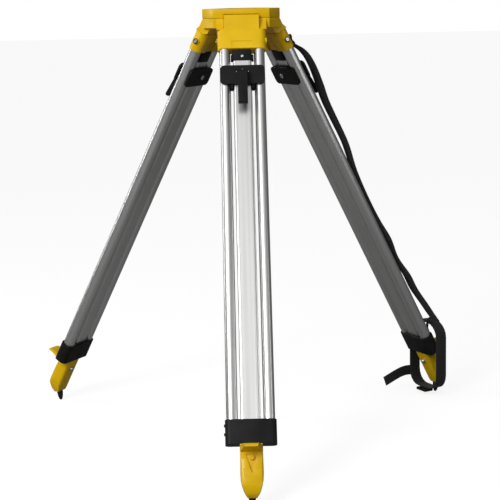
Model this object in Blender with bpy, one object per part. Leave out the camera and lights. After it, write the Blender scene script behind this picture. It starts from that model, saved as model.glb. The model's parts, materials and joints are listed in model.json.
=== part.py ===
"""Contractor's survey tripod: a flat-head aluminium tripod with three telescoping legs and a carrying strap.

The frame is metres, +Z up, with the origin on the floor under the middle of the whole tripod's outline. The
front leg points along -Y, the right leg to +X and the left leg to -X. Each leg is modelled in its own frame, an
empty on its hinge axis: +Z runs up the leg, +Y points away from the tripod's middle and +X runs along the hinge.
"""

import math

import bmesh
import bpy
from mathutils import Matrix, Vector

# Clearance between pieces that touch on the real tripod.
GAP = 0.0003

# Legs: how they stand and how their length adds up, measured down the leg from the hinge axis.
LEG_AZIMUTHS = {"front": -90, "right": 30, "left": 150}
LEG_TILT = math.radians(28.4)
PIVOT_RADIUS = 0.056
PIVOT_DROP = 0.033
LEG_OFFSET = 0.0075
SHOULDER_DROP = 0.0215
BLOCK_HEIGHT = 0.045
UPPER_LEG = 0.9014
COLLAR_HEIGHT = 0.048
SHOE_HEIGHT = 0.1042

# Leg sections.
LEG_WIDTH = 0.0947
TUBE_WIDTH = 0.0225
TUBE_DEPTH = 0.026
TUBE_ROUND = 0.0105
TUBE_WALL = 0.0016
SOCKET_DEPTH = 0.036
RAIL_SIDE_ROOM = 0.00535
RAIL_DEPTH = 0.020
RAIL_ROUND = 0.006
RAIL_WALL = 0.0018
RAIL_TOP_DROP = 0.093
RAIL_CAP_HEIGHT = 0.0245
RAIL_IN_SHOE = 0.034

# Head.
HEAD_APOTHEM = 0.0615
HEAD_FACET = 0.120
PLATE_THICK = 0.020
FRAME_THICK = 0.0197
HEAD_HOLE_RADIUS = 0.032
FRAME_RING_RADIUS = 0.0435
NOTCH_RISE = 0.0088
EAR_END = 0.0525

# Hinge block and collar: what their walls add around the tubes.
BLOCK_SIDE_WALL = 0.00365
BLOCK_FACE_WALL = 0.002
COLLAR_SIDE_WALL = 0.00265
COLLAR_FACE_WALL = 0.0025
TONGUE_WIDTH = 0.0742
BARREL_RADIUS = 0.011
HINGE_PIN_RADIUS = 0.0035
SOCKET_SCREW_DROP = 0.044
SOCKET_SCREW_RADIUS = 0.002

# Clamp that rides on the rail's upper end, a little narrower than the leg.
CLAMP_INSET = 0.00085
CLAMP_HEIGHT = 0.042
CLAMP_DROP = 0.128
CLAMP_THICK = 0.0045
CLAMP_BOLT_RADIUS = 0.0032
CAM_RADIUS = 0.0078
LEVER_WIDTH = 0.020
LEVER_REACH = 0.073

# Shoe.
SHOE_SIDE_WALL = 0.003
SHOE_NOSE = 0.0095
SHOE_BOLT_DROP = 0.0265
SHOE_BOLT_RADIUS = 0.003
PEDAL_REACH = 0.037
SPIKE_LENGTH = 0.0239
SPIKE_TIP_RADIUS = 0.0022

# Centre screw: a 5/8 inch stud on a swinging arm.
STUD_RADIUS = 0.0079
STUD_TOP_DROP = 0.002
ARM_PIVOT_RADIUS = 0.060
ARM_WIDTH = 0.022
ARM_THICK = 0.007
HUB_RADIUS = 0.023
HUB_LENGTH = 0.048
KNOB_RADIUS = 0.022
KNOB_LENGTH = 0.024

# Strap.
STRAP_WIDTH = 0.028
STRAP_THICK = 0.0025
STRAP_SIDE = 0.027
TIE_WIDTH = 0.030

# Worked out from the sizes above.
BLOCK_WIDTH = LEG_WIDTH + 2 * BLOCK_SIDE_WALL
BLOCK_DEPTH = TUBE_DEPTH + 2 * BLOCK_FACE_WALL
COLLAR_WIDTH = LEG_WIDTH + 2 * COLLAR_SIDE_WALL
COLLAR_DEPTH = TUBE_DEPTH + 2 * COLLAR_FACE_WALL
CLAMP_WIDTH = LEG_WIDTH - 2 * CLAMP_INSET
BLOCK_BOTTOM = SHOULDER_DROP + BLOCK_HEIGHT
COLLAR_TOP = UPPER_LEG - COLLAR_HEIGHT
SHOE_TOP = UPPER_LEG + GAP
SHOE_LOW = SHOE_TOP + SHOE_HEIGHT
TUBE_OFFSET = LEG_WIDTH / 2 - TUBE_WIDTH / 2
RAIL_WIDTH = LEG_WIDTH - 2 * TUBE_WIDTH - 2 * RAIL_SIDE_ROOM
SHOE_WIDTH = RAIL_WIDTH + 2 * SHOE_SIDE_WALL
TUBE_TOP = BLOCK_BOTTOM - SOCKET_DEPTH
TUBE_LOW = COLLAR_TOP + SOCKET_DEPTH
TUBE_FACE = LEG_OFFSET + TUBE_DEPTH / 2
TUBE_BACK = LEG_OFFSET - TUBE_DEPTH / 2
BLOCK_FACE = LEG_OFFSET + BLOCK_DEPTH / 2
SHOE_INNER = LEG_OFFSET - RAIL_DEPTH / 2 - 0.0037
SHOE_OUTER = LEG_OFFSET + RAIL_DEPTH / 2 + SHOE_NOSE
RAIL_LOW = SHOE_TOP + RAIL_IN_SHOE
LEVER_AXIS_Y = TUBE_FACE + GAP + CLAMP_THICK + GAP + CAM_RADIUS
CLAMP_BACK = TUBE_BACK - GAP - CLAMP_THICK

# Spike: it leaves the shoe's slanted underside and points almost straight down when the legs are spread.
SPIKE_DIRECTION = Vector((0, -0.618, -0.786)).normalized()
SPIKE_SLOPE = Vector((0, 0.786, -0.618)).normalized()
SPIKE_BASE = Vector((0, SHOE_INNER + 0.0045, -SHOE_LOW + 0.0082))
SPIKE_TIP = SPIKE_BASE + SPIKE_DIRECTION * SPIKE_LENGTH


def lift(y, z):
    """Height of a leg-frame point above the hinge axis when the leg is spread."""
    return y * math.sin(LEG_TILT) + z * math.cos(LEG_TILT)


SPIKE_LEAN = math.acos(min(1.0, -lift(SPIKE_DIRECTION.y, SPIKE_DIRECTION.z)))
PIVOT_HEIGHT = SPIKE_TIP_RADIUS * math.sin(SPIKE_LEAN) - lift(SPIKE_TIP.y, SPIKE_TIP.z)
HEAD_TOP = PIVOT_HEIGHT + PIVOT_DROP
FRAME_TOP = HEAD_TOP - PLATE_THICK - GAP
FRAME_LOW = FRAME_TOP - FRAME_THICK

MATERIALS = {}


def clear_scene():
    for obj in list(bpy.data.objects):
        bpy.data.objects.remove(obj)


def material(name, colour, roughness, metallic=0.0):
    made = bpy.data.materials.new(name)
    made.use_nodes = True
    shader = made.node_tree.nodes["Principled BSDF"]
    shader.inputs["Base Color"].default_value = (*colour, 1)
    shader.inputs["Roughness"].default_value = roughness
    shader.inputs["Metallic"].default_value = metallic
    MATERIALS[name] = made


def make_materials():
    material("yellow_paint", (0.79, 0.50, 0.01), 0.38)
    material("aluminium", (0.62, 0.62, 0.60), 0.32, 1.0)
    material("black_plastic", (0.018, 0.018, 0.018), 0.45)
    material("steel", (0.60, 0.60, 0.62), 0.25, 1.0)
    material("dark_steel", (0.03, 0.03, 0.03), 0.5, 0.6)
    material("webbing", (0.012, 0.012, 0.012), 0.85)


def add(name, bm, finish, parent=None, smooth=True):
    """Turns a bmesh into a named object with its own copy of a finish."""
    bmesh.ops.recalc_face_normals(bm, faces=bm.faces)
    mesh = bpy.data.meshes.new(name)
    bm.to_mesh(mesh)
    bm.free()
    if smooth:
        mesh.shade_smooth()
        mesh.set_sharp_from_angle(angle=math.radians(35))
    own = MATERIALS[finish].copy()
    own.name = name + "_finish"
    mesh.materials.append(own)
    obj = bpy.data.objects.new(name, mesh)
    obj.parent = parent
    bpy.context.scene.collection.objects.link(obj)
    return obj


def boolean(obj, bm, operation="DIFFERENCE"):
    """Applies a bmesh, in obj's own frame, as a hidden Boolean operand."""
    index = len([m for m in obj.modifiers if m.type == "BOOLEAN"])
    bmesh.ops.recalc_face_normals(bm, faces=bm.faces)
    mesh = bpy.data.meshes.new(f"{obj.name}_tool_{index}")
    bm.to_mesh(mesh)
    bm.free()
    tool = bpy.data.objects.new(mesh.name, mesh)
    tool.parent = obj.parent
    tool.location = obj.location
    tool.hide_render = True
    tool.display_type = "WIRE"
    bpy.context.scene.collection.objects.link(tool)
    modifier = obj.modifiers.new(f"{operation.lower()}_{index}", "BOOLEAN")
    modifier.operation = operation
    modifier.object = tool
    modifier.solver = "EXACT"


def soften(obj, width, segments=2, angle=40):
    modifier = obj.modifiers.new("soften", "BEVEL")
    modifier.width = width
    modifier.segments = segments
    modifier.limit_method = "ANGLE"
    modifier.angle_limit = math.radians(angle)
    modifier.use_clamp_overlap = True


def prism(outline, axis, low, high):
    """A closed prism: an outline of two coordinates, extruded along the third, from low to high."""
    order = {"X": (1, 2, 0), "Y": (0, 2, 1), "Z": (0, 1, 2)}[axis]
    bm = bmesh.new()
    corners = []
    for point in outline:
        place = [0.0, 0.0, 0.0]
        place[order[0]], place[order[1]], place[order[2]] = point[0], point[1], low
        corners.append(bm.verts.new(place))
    face = bm.faces.new(corners)
    run = [0.0, 0.0, 0.0]
    run[order[2]] = high - low
    made = bmesh.ops.extrude_face_region(bm, geom=[face])["geom"]
    moved = [v for v in made if isinstance(v, bmesh.types.BMVert)]
    bmesh.ops.translate(bm, vec=run, verts=moved)
    return bm


def block(low, high):
    outline = [(low[0], low[1]), (high[0], low[1]), (high[0], high[1]), (low[0], high[1])]
    return prism(outline, "Z", low[2], high[2])


def rounded(width, depth, radius, centre=(0.0, 0.0), steps=4):
    """Outline of a rectangle with round corners."""
    points = []
    for turn, (sx, sy) in enumerate(((1, 1), (-1, 1), (-1, -1), (1, -1))):
        middle_x = centre[0] + sx * (width / 2 - radius)
        middle_y = centre[1] + sy * (depth / 2 - radius)
        for step in range(steps + 1):
            angle = math.radians(90) * (turn + step / steps)
            points.append((middle_x + radius * math.cos(angle), middle_y + radius * math.sin(angle)))
    return points


def arc(centre, radius, start, stop, steps):
    """Points on an arc, in degrees."""
    return [
        (
            centre[0] + radius * math.cos(math.radians(start + (stop - start) * i / steps)),
            centre[1] + radius * math.sin(math.radians(start + (stop - start) * i / steps)),
        )
        for i in range(steps + 1)
    ]


def rod(radius, start, end, sides=16):
    """A cylinder between two points."""
    start, end = Vector(start), Vector(end)
    turn = (end - start).to_track_quat("Z", "Y").to_matrix().to_4x4()
    bm = bmesh.new()
    bmesh.ops.create_cone(
        bm,
        cap_ends=True,
        segments=sides,
        radius1=radius,
        radius2=radius,
        depth=(end - start).length,
        matrix=Matrix.Translation((start + end) / 2) @ turn,
    )
    return bm


def turned(profile, sides):
    """A solid turned about Z from an outline of (radius, z) that starts and ends on the axis."""
    bm = bmesh.new()
    points = [bm.verts.new((radius, 0, z)) for radius, z in profile]
    edges = [bm.edges.new(pair) for pair in zip(points, points[1:])]
    bmesh.ops.spin(
        bm,
        geom=points + edges,
        cent=(0, 0, 0),
        axis=(0, 0, 1),
        angle=math.tau,
        steps=sides,
        use_merge=True,
    )
    bmesh.ops.remove_doubles(bm, verts=bm.verts, dist=1e-6)
    return bm


def leg_empty(name, azimuth):
    """An empty on a leg's hinge axis, with +Z up the spread leg and +Y pointing outwards."""
    angle = math.radians(azimuth)
    outward = Vector((math.cos(angle), math.sin(angle), 0))
    up = Vector((0, 0, 1))
    leg_y = outward * math.cos(LEG_TILT) + up * math.sin(LEG_TILT)
    leg_z = up * math.cos(LEG_TILT) - outward * math.sin(LEG_TILT)
    leg_x = leg_y.cross(leg_z)
    turn = Matrix((leg_x, leg_y, leg_z)).transposed().to_4x4()
    empty = bpy.data.objects.new(name + "_hinge_axis", None)
    empty.matrix_world = Matrix.Translation(outward * PIVOT_RADIUS + up * PIVOT_HEIGHT) @ turn
    bpy.context.scene.collection.objects.link(empty)
    return empty


def head_outline(shrink=0.0):
    """Plan of the head: three wide facets that face the legs and three narrow ones between them."""
    points = []
    for azimuth in LEG_AZIMUTHS.values():
        angle = math.radians(azimuth)
        for side in (-1, 1):
            reach = HEAD_APOTHEM - shrink
            along = side * (HEAD_FACET / 2 - shrink * 0.58)
            points.append(
                (
                    reach * math.cos(angle) - along * math.sin(angle),
                    reach * math.sin(angle) + along * math.cos(angle),
                )
            )
    return points


def about_leg(bm, azimuth):
    """Turns a bmesh made for a leg that points along +X into that leg's direction."""
    bmesh.ops.rotate(bm, verts=bm.verts, matrix=Matrix.Rotation(math.radians(azimuth), 3, "Z"))
    return bm


def head_plate():
    bm = prism(head_outline(), "Z", HEAD_TOP - PLATE_THICK, HEAD_TOP)
    plate = add("head_plate", bm, "yellow_paint")
    soften(plate, 0.0012)
    boolean(plate, rod(HEAD_HOLE_RADIUS, (0, 0, HEAD_TOP - 0.05), (0, 0, HEAD_TOP + 0.01), 40))
    half = TONGUE_WIDTH / 2 + 2 * GAP
    low = HEAD_TOP - PLATE_THICK - 0.01
    for azimuth in LEG_AZIMUTHS.values():
        notch = block((PIVOT_RADIUS - 0.009, -half, low), (0.09, half, HEAD_TOP - PLATE_THICK + NOTCH_RISE))
        boolean(plate, about_leg(notch, azimuth))


def ear_outline():
    """Side view of an ear as (distance from the tripod's middle, height), ending on the leg's stop face."""
    stop = -SHOULDER_DROP + GAP

    def seen(y, z):
        out = y * math.cos(LEG_TILT) - z * math.sin(LEG_TILT)
        return (PIVOT_RADIUS + out, PIVOT_HEIGHT + lift(y, z))

    return [
        (FRAME_RING_RADIUS, FRAME_TOP),
        (HEAD_APOTHEM, FRAME_TOP),
        (PIVOT_RADIUS + 0.0085, PIVOT_HEIGHT + 0.005),
        seen(BLOCK_FACE - 0.0035, stop),
        seen(-0.003, stop),
        seen(-0.0105, stop + 0.0036),
        (PIVOT_RADIUS - 0.0105, PIVOT_HEIGHT - 0.007),
    ]


def head_frame():
    bm = prism(head_outline(0.0004), "Z", FRAME_LOW, FRAME_TOP)
    frame = add("head_frame", bm, "yellow_paint")
    for azimuth in LEG_AZIMUTHS.values():
        slot = TONGUE_WIDTH / 2 + 2 * GAP
        bay = block((FRAME_RING_RADIUS, -slot, FRAME_LOW - 0.01), (0.12, slot, FRAME_TOP + 0.01))
        boolean(frame, about_leg(bay, azimuth))
        for side in (-1, 1):
            low, high = sorted((side * slot, side * EAR_END))
            ear = prism([(x, z) for x, z in ear_outline()], "Y", low, high)
            boolean(frame, about_leg(ear, azimuth), "UNION")
        hole = rod(
            HINGE_PIN_RADIUS + GAP,
            (PIVOT_RADIUS, -0.07, PIVOT_HEIGHT),
            (PIVOT_RADIUS, 0.07, PIVOT_HEIGHT),
        )
        boolean(frame, about_leg(hole, azimuth))
    boolean(frame, rod(HEAD_HOLE_RADIUS, (0, 0, FRAME_LOW - 0.05), (0, 0, FRAME_TOP + 0.01), 40))
    pin = rod(SHOE_BOLT_RADIUS + GAP, (0, ARM_PIVOT_RADIUS, FRAME_LOW - 0.01), (0, ARM_PIVOT_RADIUS, FRAME_TOP - 0.006))
    boolean(frame, pin)


def centre_screw():
    arm_top = FRAME_LOW - GAP
    arm_low = arm_top - ARM_THICK
    hub_low = arm_top - HUB_LENGTH
    outline = arc((0, ARM_PIVOT_RADIUS), ARM_WIDTH / 2, 0, 180, 10) + arc((0, 0), ARM_WIDTH / 2, 180, 360, 10)
    arm = add("swing_arm", prism(outline, "Z", arm_low, arm_top), "yellow_paint")
    hub = rod(HUB_RADIUS, (0, 0, hub_low), (0, 0, arm_top - 0.001), 32)
    boolean(arm, hub, "UNION")
    boolean(arm, rod(STUD_RADIUS + GAP, (0, 0, hub_low - 0.01), (0, 0, arm_top + 0.01), 24))
    pin_at = (0, ARM_PIVOT_RADIUS)
    boolean(arm, rod(SHOE_BOLT_RADIUS + GAP, (*pin_at, arm_low - 0.01), (*pin_at, arm_top + 0.01)))

    profile = [
        (0, FRAME_TOP - 0.0066),
        (SHOE_BOLT_RADIUS, FRAME_TOP - 0.0066),
        (SHOE_BOLT_RADIUS, arm_low - GAP),
        (0.0062, arm_low - GAP),
        (0.0062, arm_low - GAP - 0.004),
        (0, arm_low - GAP - 0.004),
    ]
    pin = turned(profile, 16)
    bmesh.ops.translate(pin, verts=pin.verts, vec=(0, ARM_PIVOT_RADIUS, 0))
    add("arm_pin", pin, "steel")

    knob_top = hub_low - GAP
    stud_top = HEAD_TOP - STUD_TOP_DROP
    profile = [
        (0, stud_top),
        (STUD_RADIUS - 0.0015, stud_top),
        (STUD_RADIUS, stud_top - 0.0015),
        (STUD_RADIUS, knob_top - KNOB_LENGTH + 0.006),
        (0, knob_top - KNOB_LENGTH + 0.006),
    ]
    add("centre_screw", turned(profile, 24), "steel")
    bm = bmesh.new()
    lobes = 12
    outline = []
    for step in range(lobes * 4):
        radius = KNOB_RADIUS - 0.0009 * (1 - math.cos(math.tau * step / 4))
        angle = math.tau * step / (lobes * 4)
        outline.append((radius * math.cos(angle), radius * math.sin(angle)))
    bm.free()
    knob = add("screw_knob", prism(outline, "Z", knob_top - KNOB_LENGTH, knob_top), "black_plastic")
    boolean(knob, rod(STUD_RADIUS + GAP, (0, 0, knob_top - KNOB_LENGTH + 0.0057), (0, 0, knob_top + 0.01), 24))


def hinge_block(leg, empty):
    outline = rounded(BLOCK_WIDTH, BLOCK_DEPTH, BLOCK_DEPTH / 2 - 0.0005, (0, LEG_OFFSET), 5)
    casting = add(leg + "_hinge_block", prism(outline, "Z", -BLOCK_BOTTOM, -SHOULDER_DROP), "yellow_paint", empty)
    soften(casting, 0.001, 1, 60)
    face = BLOCK_FACE - 0.0005
    side = [
        (face, -SHOULDER_DROP - 0.012),
        (face, 0.011),
        (face - 0.002, 0.013),
        *arc((0, 0), BARREL_RADIUS, 62, 210, 9),
        (LEG_OFFSET - BLOCK_DEPTH / 2 + 0.001, -SHOULDER_DROP),
        (LEG_OFFSET - BLOCK_DEPTH / 2 + 0.001, -SHOULDER_DROP - 0.012),
    ]
    boolean(casting, prism(side, "X", -TONGUE_WIDTH / 2, TONGUE_WIDTH / 2), "UNION")
    for sign in (-1, 1):
        boss_end = sign * (BLOCK_WIDTH / 2 + 0.0015)
        boss = rod(
            0.0075,
            (sign * (BLOCK_WIDTH / 2 - 0.008), LEG_OFFSET, -SOCKET_SCREW_DROP),
            (boss_end, LEG_OFFSET, -SOCKET_SCREW_DROP),
        )
        boolean(casting, boss, "UNION")
    for sign in (-1, 1):
        socket = rounded(
            TUBE_WIDTH + 2 * GAP, TUBE_DEPTH + 2 * GAP, TUBE_ROUND, (sign * TUBE_OFFSET, LEG_OFFSET)
        )
        boolean(casting, prism(socket, "Z", -BLOCK_BOTTOM - 0.01, -TUBE_TOP + GAP))
    across = 0.07
    boolean(casting, rod(HINGE_PIN_RADIUS + GAP, (-across, 0, 0), (across, 0, 0)))
    for sign in (-1, 1):
        hole = rod(
            SOCKET_SCREW_RADIUS + GAP,
            (sign * 0.035, LEG_OFFSET, -SOCKET_SCREW_DROP),
            (sign * across, LEG_OFFSET, -SOCKET_SCREW_DROP),
            12,
        )
        boolean(casting, hole)
    hollow = block((-0.019, -0.02, -BLOCK_BOTTOM - 0.01), (0.019, LEG_OFFSET - BLOCK_DEPTH / 2 + 0.005, -0.030))
    boolean(casting, hollow)
    plaque = block((-0.0215, face - 0.001, -BLOCK_BOTTOM + 0.002), (0.0215, face + 0.01, -BLOCK_BOTTOM + 0.017))
    boolean(casting, plaque)


def hinge_fasteners(leg, empty):
    pin_end = EAR_END + 0.002
    pin = rod(HINGE_PIN_RADIUS, (-pin_end, 0, 0), (pin_end, 0, 0))
    add(leg + "_hinge_pin", pin, "steel", empty)
    seat = BLOCK_WIDTH / 2 + 0.0015 + GAP
    for side, sign in (("a", 1), ("b", -1)):
        profile = [
            (0, seat + 0.0022),
            (0.0048, seat + 0.0022),
            (0.0056, seat + 0.0014),
            (0.0056, seat),
            (SOCKET_SCREW_RADIUS, seat),
            (SOCKET_SCREW_RADIUS, seat - 0.0085),
            (0, seat - 0.0085),
        ]
        screw = turned(profile, 12)
        turn = Matrix.Rotation(math.radians(90 * sign), 3, "Y")
        bmesh.ops.rotate(screw, verts=screw.verts, matrix=turn)
        bmesh.ops.translate(screw, verts=screw.verts, vec=(0, LEG_OFFSET, -SOCKET_SCREW_DROP))
        add(f"{leg}_socket_screw_{side}", screw, "steel", empty)


def outer_tubes(leg, empty):
    for side, sign in (("a", 1), ("b", -1)):
        middle = (sign * TUBE_OFFSET, LEG_OFFSET)
        outline = rounded(TUBE_WIDTH, TUBE_DEPTH, TUBE_ROUND, middle)
        tube = add(f"{leg}_outer_tube_{side}", prism(outline, "Z", -TUBE_LOW, -TUBE_TOP), "aluminium", empty)
        wall = 2 * TUBE_WALL
        bore = rounded(TUBE_WIDTH - wall, TUBE_DEPTH - wall, TUBE_ROUND - TUBE_WALL, middle)
        boolean(tube, prism(bore, "Z", -TUBE_LOW - 0.01, -TUBE_TOP + 0.01))
        hole = rod(
            SOCKET_SCREW_RADIUS + GAP,
            (sign * TUBE_OFFSET, LEG_OFFSET, -SOCKET_SCREW_DROP),
            (sign * LEG_WIDTH, LEG_OFFSET, -SOCKET_SCREW_DROP),
            12,
        )
        boolean(tube, hole)


def collar(leg, empty):
    outline = rounded(COLLAR_WIDTH, COLLAR_DEPTH, 0.010, (0, LEG_OFFSET), 5)
    part = add(leg + "_collar", prism(outline, "Z", -UPPER_LEG, -COLLAR_TOP), "black_plastic", empty)
    for drop in (0.010, 0.027):
        bump = rod(
            0.003,
            (COLLAR_WIDTH / 2 - 0.0037, LEG_OFFSET, -COLLAR_TOP - drop),
            (COLLAR_WIDTH / 2 + 0.002, LEG_OFFSET, -COLLAR_TOP - drop),
            16,
        )
        boolean(part, bump, "UNION")
    for sign in (-1, 1):
        socket = rounded(
            TUBE_WIDTH + 2 * GAP, TUBE_DEPTH + 2 * GAP, TUBE_ROUND, (sign * TUBE_OFFSET, LEG_OFFSET)
        )
        boolean(part, prism(socket, "Z", -TUBE_LOW - GAP, -COLLAR_TOP + 0.01))
    way = rounded(RAIL_WIDTH + 2 * GAP, RAIL_DEPTH + 2 * GAP, RAIL_ROUND, (0, LEG_OFFSET))
    boolean(part, prism(way, "Z", -UPPER_LEG - 0.01, -COLLAR_TOP + 0.01))


def rail(leg, empty):
    middle = (0, LEG_OFFSET)
    outline = rounded(RAIL_WIDTH, RAIL_DEPTH, RAIL_ROUND, middle)
    part = add(leg + "_rail", prism(outline, "Z", -RAIL_LOW, -RAIL_TOP_DROP), "aluminium", empty)
    wall = 2 * RAIL_WALL
    bore = rounded(RAIL_WIDTH - wall, RAIL_DEPTH - wall, RAIL_ROUND - RAIL_WALL, middle)
    boolean(part, prism(bore, "Z", -RAIL_LOW - 0.01, -RAIL_TOP_DROP + 0.01))
    for radius, drop in ((CLAMP_BOLT_RADIUS, CLAMP_DROP), (SHOE_BOLT_RADIUS, SHOE_TOP + SHOE_BOLT_DROP)):
        boolean(part, rod(radius + GAP, (0, -0.03, -drop), (0, 0.05, -drop)))


def rail_cap(leg, empty):
    """Plug in the rail's upper end, with a wing on each side that runs between the tubes."""
    low = -RAIL_TOP_DROP + GAP
    high = low + RAIL_CAP_HEIGHT
    body = rounded(RAIL_WIDTH, RAIL_DEPTH + 0.001, 0.003, (0, LEG_OFFSET), 3)
    cap = add(leg + "_rail_cap", prism(body, "Z", low, high), "black_plastic", empty)
    wing = TUBE_OFFSET - TUBE_WIDTH / 2 - 0.0009
    boolean(cap, block((-wing, LEG_OFFSET - 0.006, low + 0.004), (wing, LEG_OFFSET + 0.006, low + 0.015)), "UNION")
    inside = 2 * RAIL_WALL + 2 * GAP
    plug = rounded(RAIL_WIDTH - inside, RAIL_DEPTH - inside, RAIL_ROUND - RAIL_WALL - GAP, (0, LEG_OFFSET))
    boolean(cap, prism(plug, "Z", low - 0.010, low + 0.001), "UNION")


def clamp_plates(leg, empty):
    outline = rounded(CLAMP_WIDTH, CLAMP_HEIGHT, 0.009, (0, -CLAMP_DROP))
    face = TUBE_FACE + GAP
    front = add(leg + "_clamp_plate", prism(outline, "Y", face, face + CLAMP_THICK), "black_plastic", empty)
    slot_low = RAIL_WIDTH / 2 + GAP
    slot_high = TUBE_OFFSET - TUBE_WIDTH / 2 - GAP
    for sign in (-1, 1):
        low, high = sorted((sign * slot_low, sign * slot_high))
        tongue = block((low, LEG_OFFSET, -CLAMP_DROP - 0.030), (high, face + 0.001, -CLAMP_DROP + 0.014))
        boolean(front, tongue, "UNION")
    boolean(front, rod(CLAMP_BOLT_RADIUS + GAP, (0, 0, -CLAMP_DROP), (0, 0.05, -CLAMP_DROP)))
    back = add(
        leg + "_clamp_back_plate", prism(outline, "Y", CLAMP_BACK, CLAMP_BACK + CLAMP_THICK), "black_plastic", empty
    )
    boolean(back, rod(CLAMP_BOLT_RADIUS + GAP, (0, -0.03, -CLAMP_DROP), (0, 0.03, -CLAMP_DROP)))


def clamp_bolt(leg, empty):
    shank = rod(CLAMP_BOLT_RADIUS, (0, CLAMP_BACK + 0.001, -CLAMP_DROP), (0, LEVER_AXIS_Y, -CLAMP_DROP))
    bolt = add(leg + "_clamp_bolt", shank, "steel", empty)
    eye = LEVER_WIDTH / 4 - 0.0005
    boolean(bolt, rod(0.006, (-eye, LEVER_AXIS_Y, -CLAMP_DROP), (eye, LEVER_AXIS_Y, -CLAMP_DROP)), "UNION")
    cross = LEVER_WIDTH / 2 - 0.0005
    trunnion = rod(0.0035, (-cross, LEVER_AXIS_Y, -CLAMP_DROP), (cross, LEVER_AXIS_Y, -CLAMP_DROP))
    boolean(bolt, trunnion, "UNION")


def clamp_lever(leg, empty):
    """The lever's own frame sits on its cam axis, so its object is placed there."""
    half = LEVER_WIDTH / 2
    side = [
        *arc((0, 0), CAM_RADIUS, 0, 215, 12),
        (-0.0040, -0.016),
        (0.0050, -LEVER_REACH + 0.003),
        (0.0065, -LEVER_REACH),
        (0.0125, -LEVER_REACH),
        (0.0146, -LEVER_REACH + 0.003),
        (0.0085, -0.018),
    ]
    lever = add(leg + "_clamp_lever", prism(side, "X", -half, half), "black_plastic", empty)
    lever.location = (0, LEVER_AXIS_Y, -CLAMP_DROP)
    boolean(lever, rod(0.0035 + GAP, (-half - 0.01, 0, 0), (half + 0.01, 0, 0)))
    slot = half / 2
    boolean(lever, block((-slot, -0.02, -0.0075), (slot, 0.0066, 0.02)))


def shoe(leg, empty):
    rise = SPIKE_BASE - SPIKE_SLOPE * 0.0093
    foot = SPIKE_BASE + SPIKE_SLOPE * 0.0090
    low = -SHOE_LOW
    side = [
        (SHOE_OUTER - 0.0040, -SHOE_TOP),
        (SHOE_INNER, -SHOE_TOP),
        (SHOE_INNER, rise.z + 0.006),
        (rise.y, rise.z),
        (foot.y, foot.z),
        (SHOE_OUTER - 0.0170, low + 0.0045),
        (SHOE_OUTER - 0.0115, low + 0.0095),
        (SHOE_OUTER - 0.0070, low + 0.0160),
        (SHOE_OUTER - 0.0032, low + 0.0240),
        (SHOE_OUTER - 0.0008, low + 0.0330),
        (SHOE_OUTER, low + 0.0430),
        (SHOE_OUTER - 0.0006, low + 0.0540),
        (SHOE_OUTER - 0.0020, low + 0.0660),
        (SHOE_OUTER - 0.0032, low + 0.0780),
    ]
    half = SHOE_WIDTH / 2
    front_half = [
        (half - 0.0006, -SHOE_TOP),
        (half, low + 0.048),
        (half - 0.0006, low + 0.038),
        (half - 0.0026, low + 0.028),
        (half - 0.0058, low + 0.0180),
        (half - 0.0100, low + 0.0090),
        (half - 0.0135, low + 0.0030),
        (half - 0.0155, low),
    ]
    front = front_half + [(-x, z) for x, z in reversed(front_half)]
    part = add(leg + "_shoe", prism(side, "X", -half - 0.01, half + 0.01), "yellow_paint", empty)
    boolean(part, prism(front, "Y", -0.05, 0.06), "INTERSECT")
    back = SHOE_INNER
    plan = rounded(SHOE_WIDTH, SHOE_OUTER - back, 0.0085, (0, (SHOE_OUTER + back) / 2), 4)
    boolean(part, prism(plan, "Z", low - 0.01, -SHOE_TOP + 0.01), "INTERSECT")
    add_pedal(part)
    pocket = rounded(RAIL_WIDTH + 2 * GAP, RAIL_DEPTH + 2 * GAP, RAIL_ROUND, (0, LEG_OFFSET))
    boolean(part, prism(pocket, "Z", -RAIL_LOW - GAP, -SHOE_TOP + 0.01))
    bolt = -SHOE_TOP - SHOE_BOLT_DROP
    top = bolt + 0.0065
    shade = prism([(-0.012, top), (0.012, top), (0, bolt - 0.030)], "Y", SHOE_OUTER - 0.0055, 0.06)
    boolean(part, shade)
    boolean(part, rod(0.0050, (0, SHOE_OUTER - 0.007, bolt), (0, SHOE_OUTER - 0.001, bolt)), "UNION")
    boolean(part, rod(SHOE_BOLT_RADIUS + GAP, (0, -0.03, bolt), (0, SHOE_OUTER - 0.0035, bolt)))
    stem = rod(0.004 + GAP, SPIKE_BASE - SPIKE_DIRECTION * 0.0143, SPIKE_BASE + SPIKE_DIRECTION * 0.01)
    boolean(part, stem)


def add_pedal(part):
    """Foot step that stands out from the shoe's outer side, narrowing towards its end."""
    root = SHOE_OUTER - 0.006
    tip = SHOE_OUTER + PEDAL_REACH
    top = -SHOE_TOP
    side = [
        (root, top - 0.0022),
        (tip - 0.0080, top - 0.0050),
        (tip - 0.0030, top - 0.0074),
        (tip, top - 0.0106),
        (tip - 0.0006, top - 0.0130),
        (tip - 0.0120, top - 0.0118),
        (SHOE_OUTER + 0.0050, top - 0.0130),
        (SHOE_OUTER - 0.0010, top - 0.0148),
        (root, top - 0.0148),
    ]
    pedal = prism(side, "X", -0.03, 0.03)
    bmesh.ops.recalc_face_normals(pedal, faces=pedal.faces)
    for sign in (-1, 1):
        edge = Vector((sign * (SHOE_WIDTH / 2 - 0.0025), root + 0.010, 0))
        run = Vector((sign * (SHOE_WIDTH / 2 - 0.0100), tip, 0)) - edge
        bmesh.ops.bisect_plane(
            pedal,
            geom=pedal.verts[:] + pedal.edges[:] + pedal.faces[:],
            plane_co=edge,
            plane_no=Vector((sign * run.y, -sign * run.x, 0)),
            clear_outer=True,
        )
        bmesh.ops.holes_fill(pedal, edges=[e for e in pedal.edges if e.is_boundary])
    boolean(part, pedal, "UNION")


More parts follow.
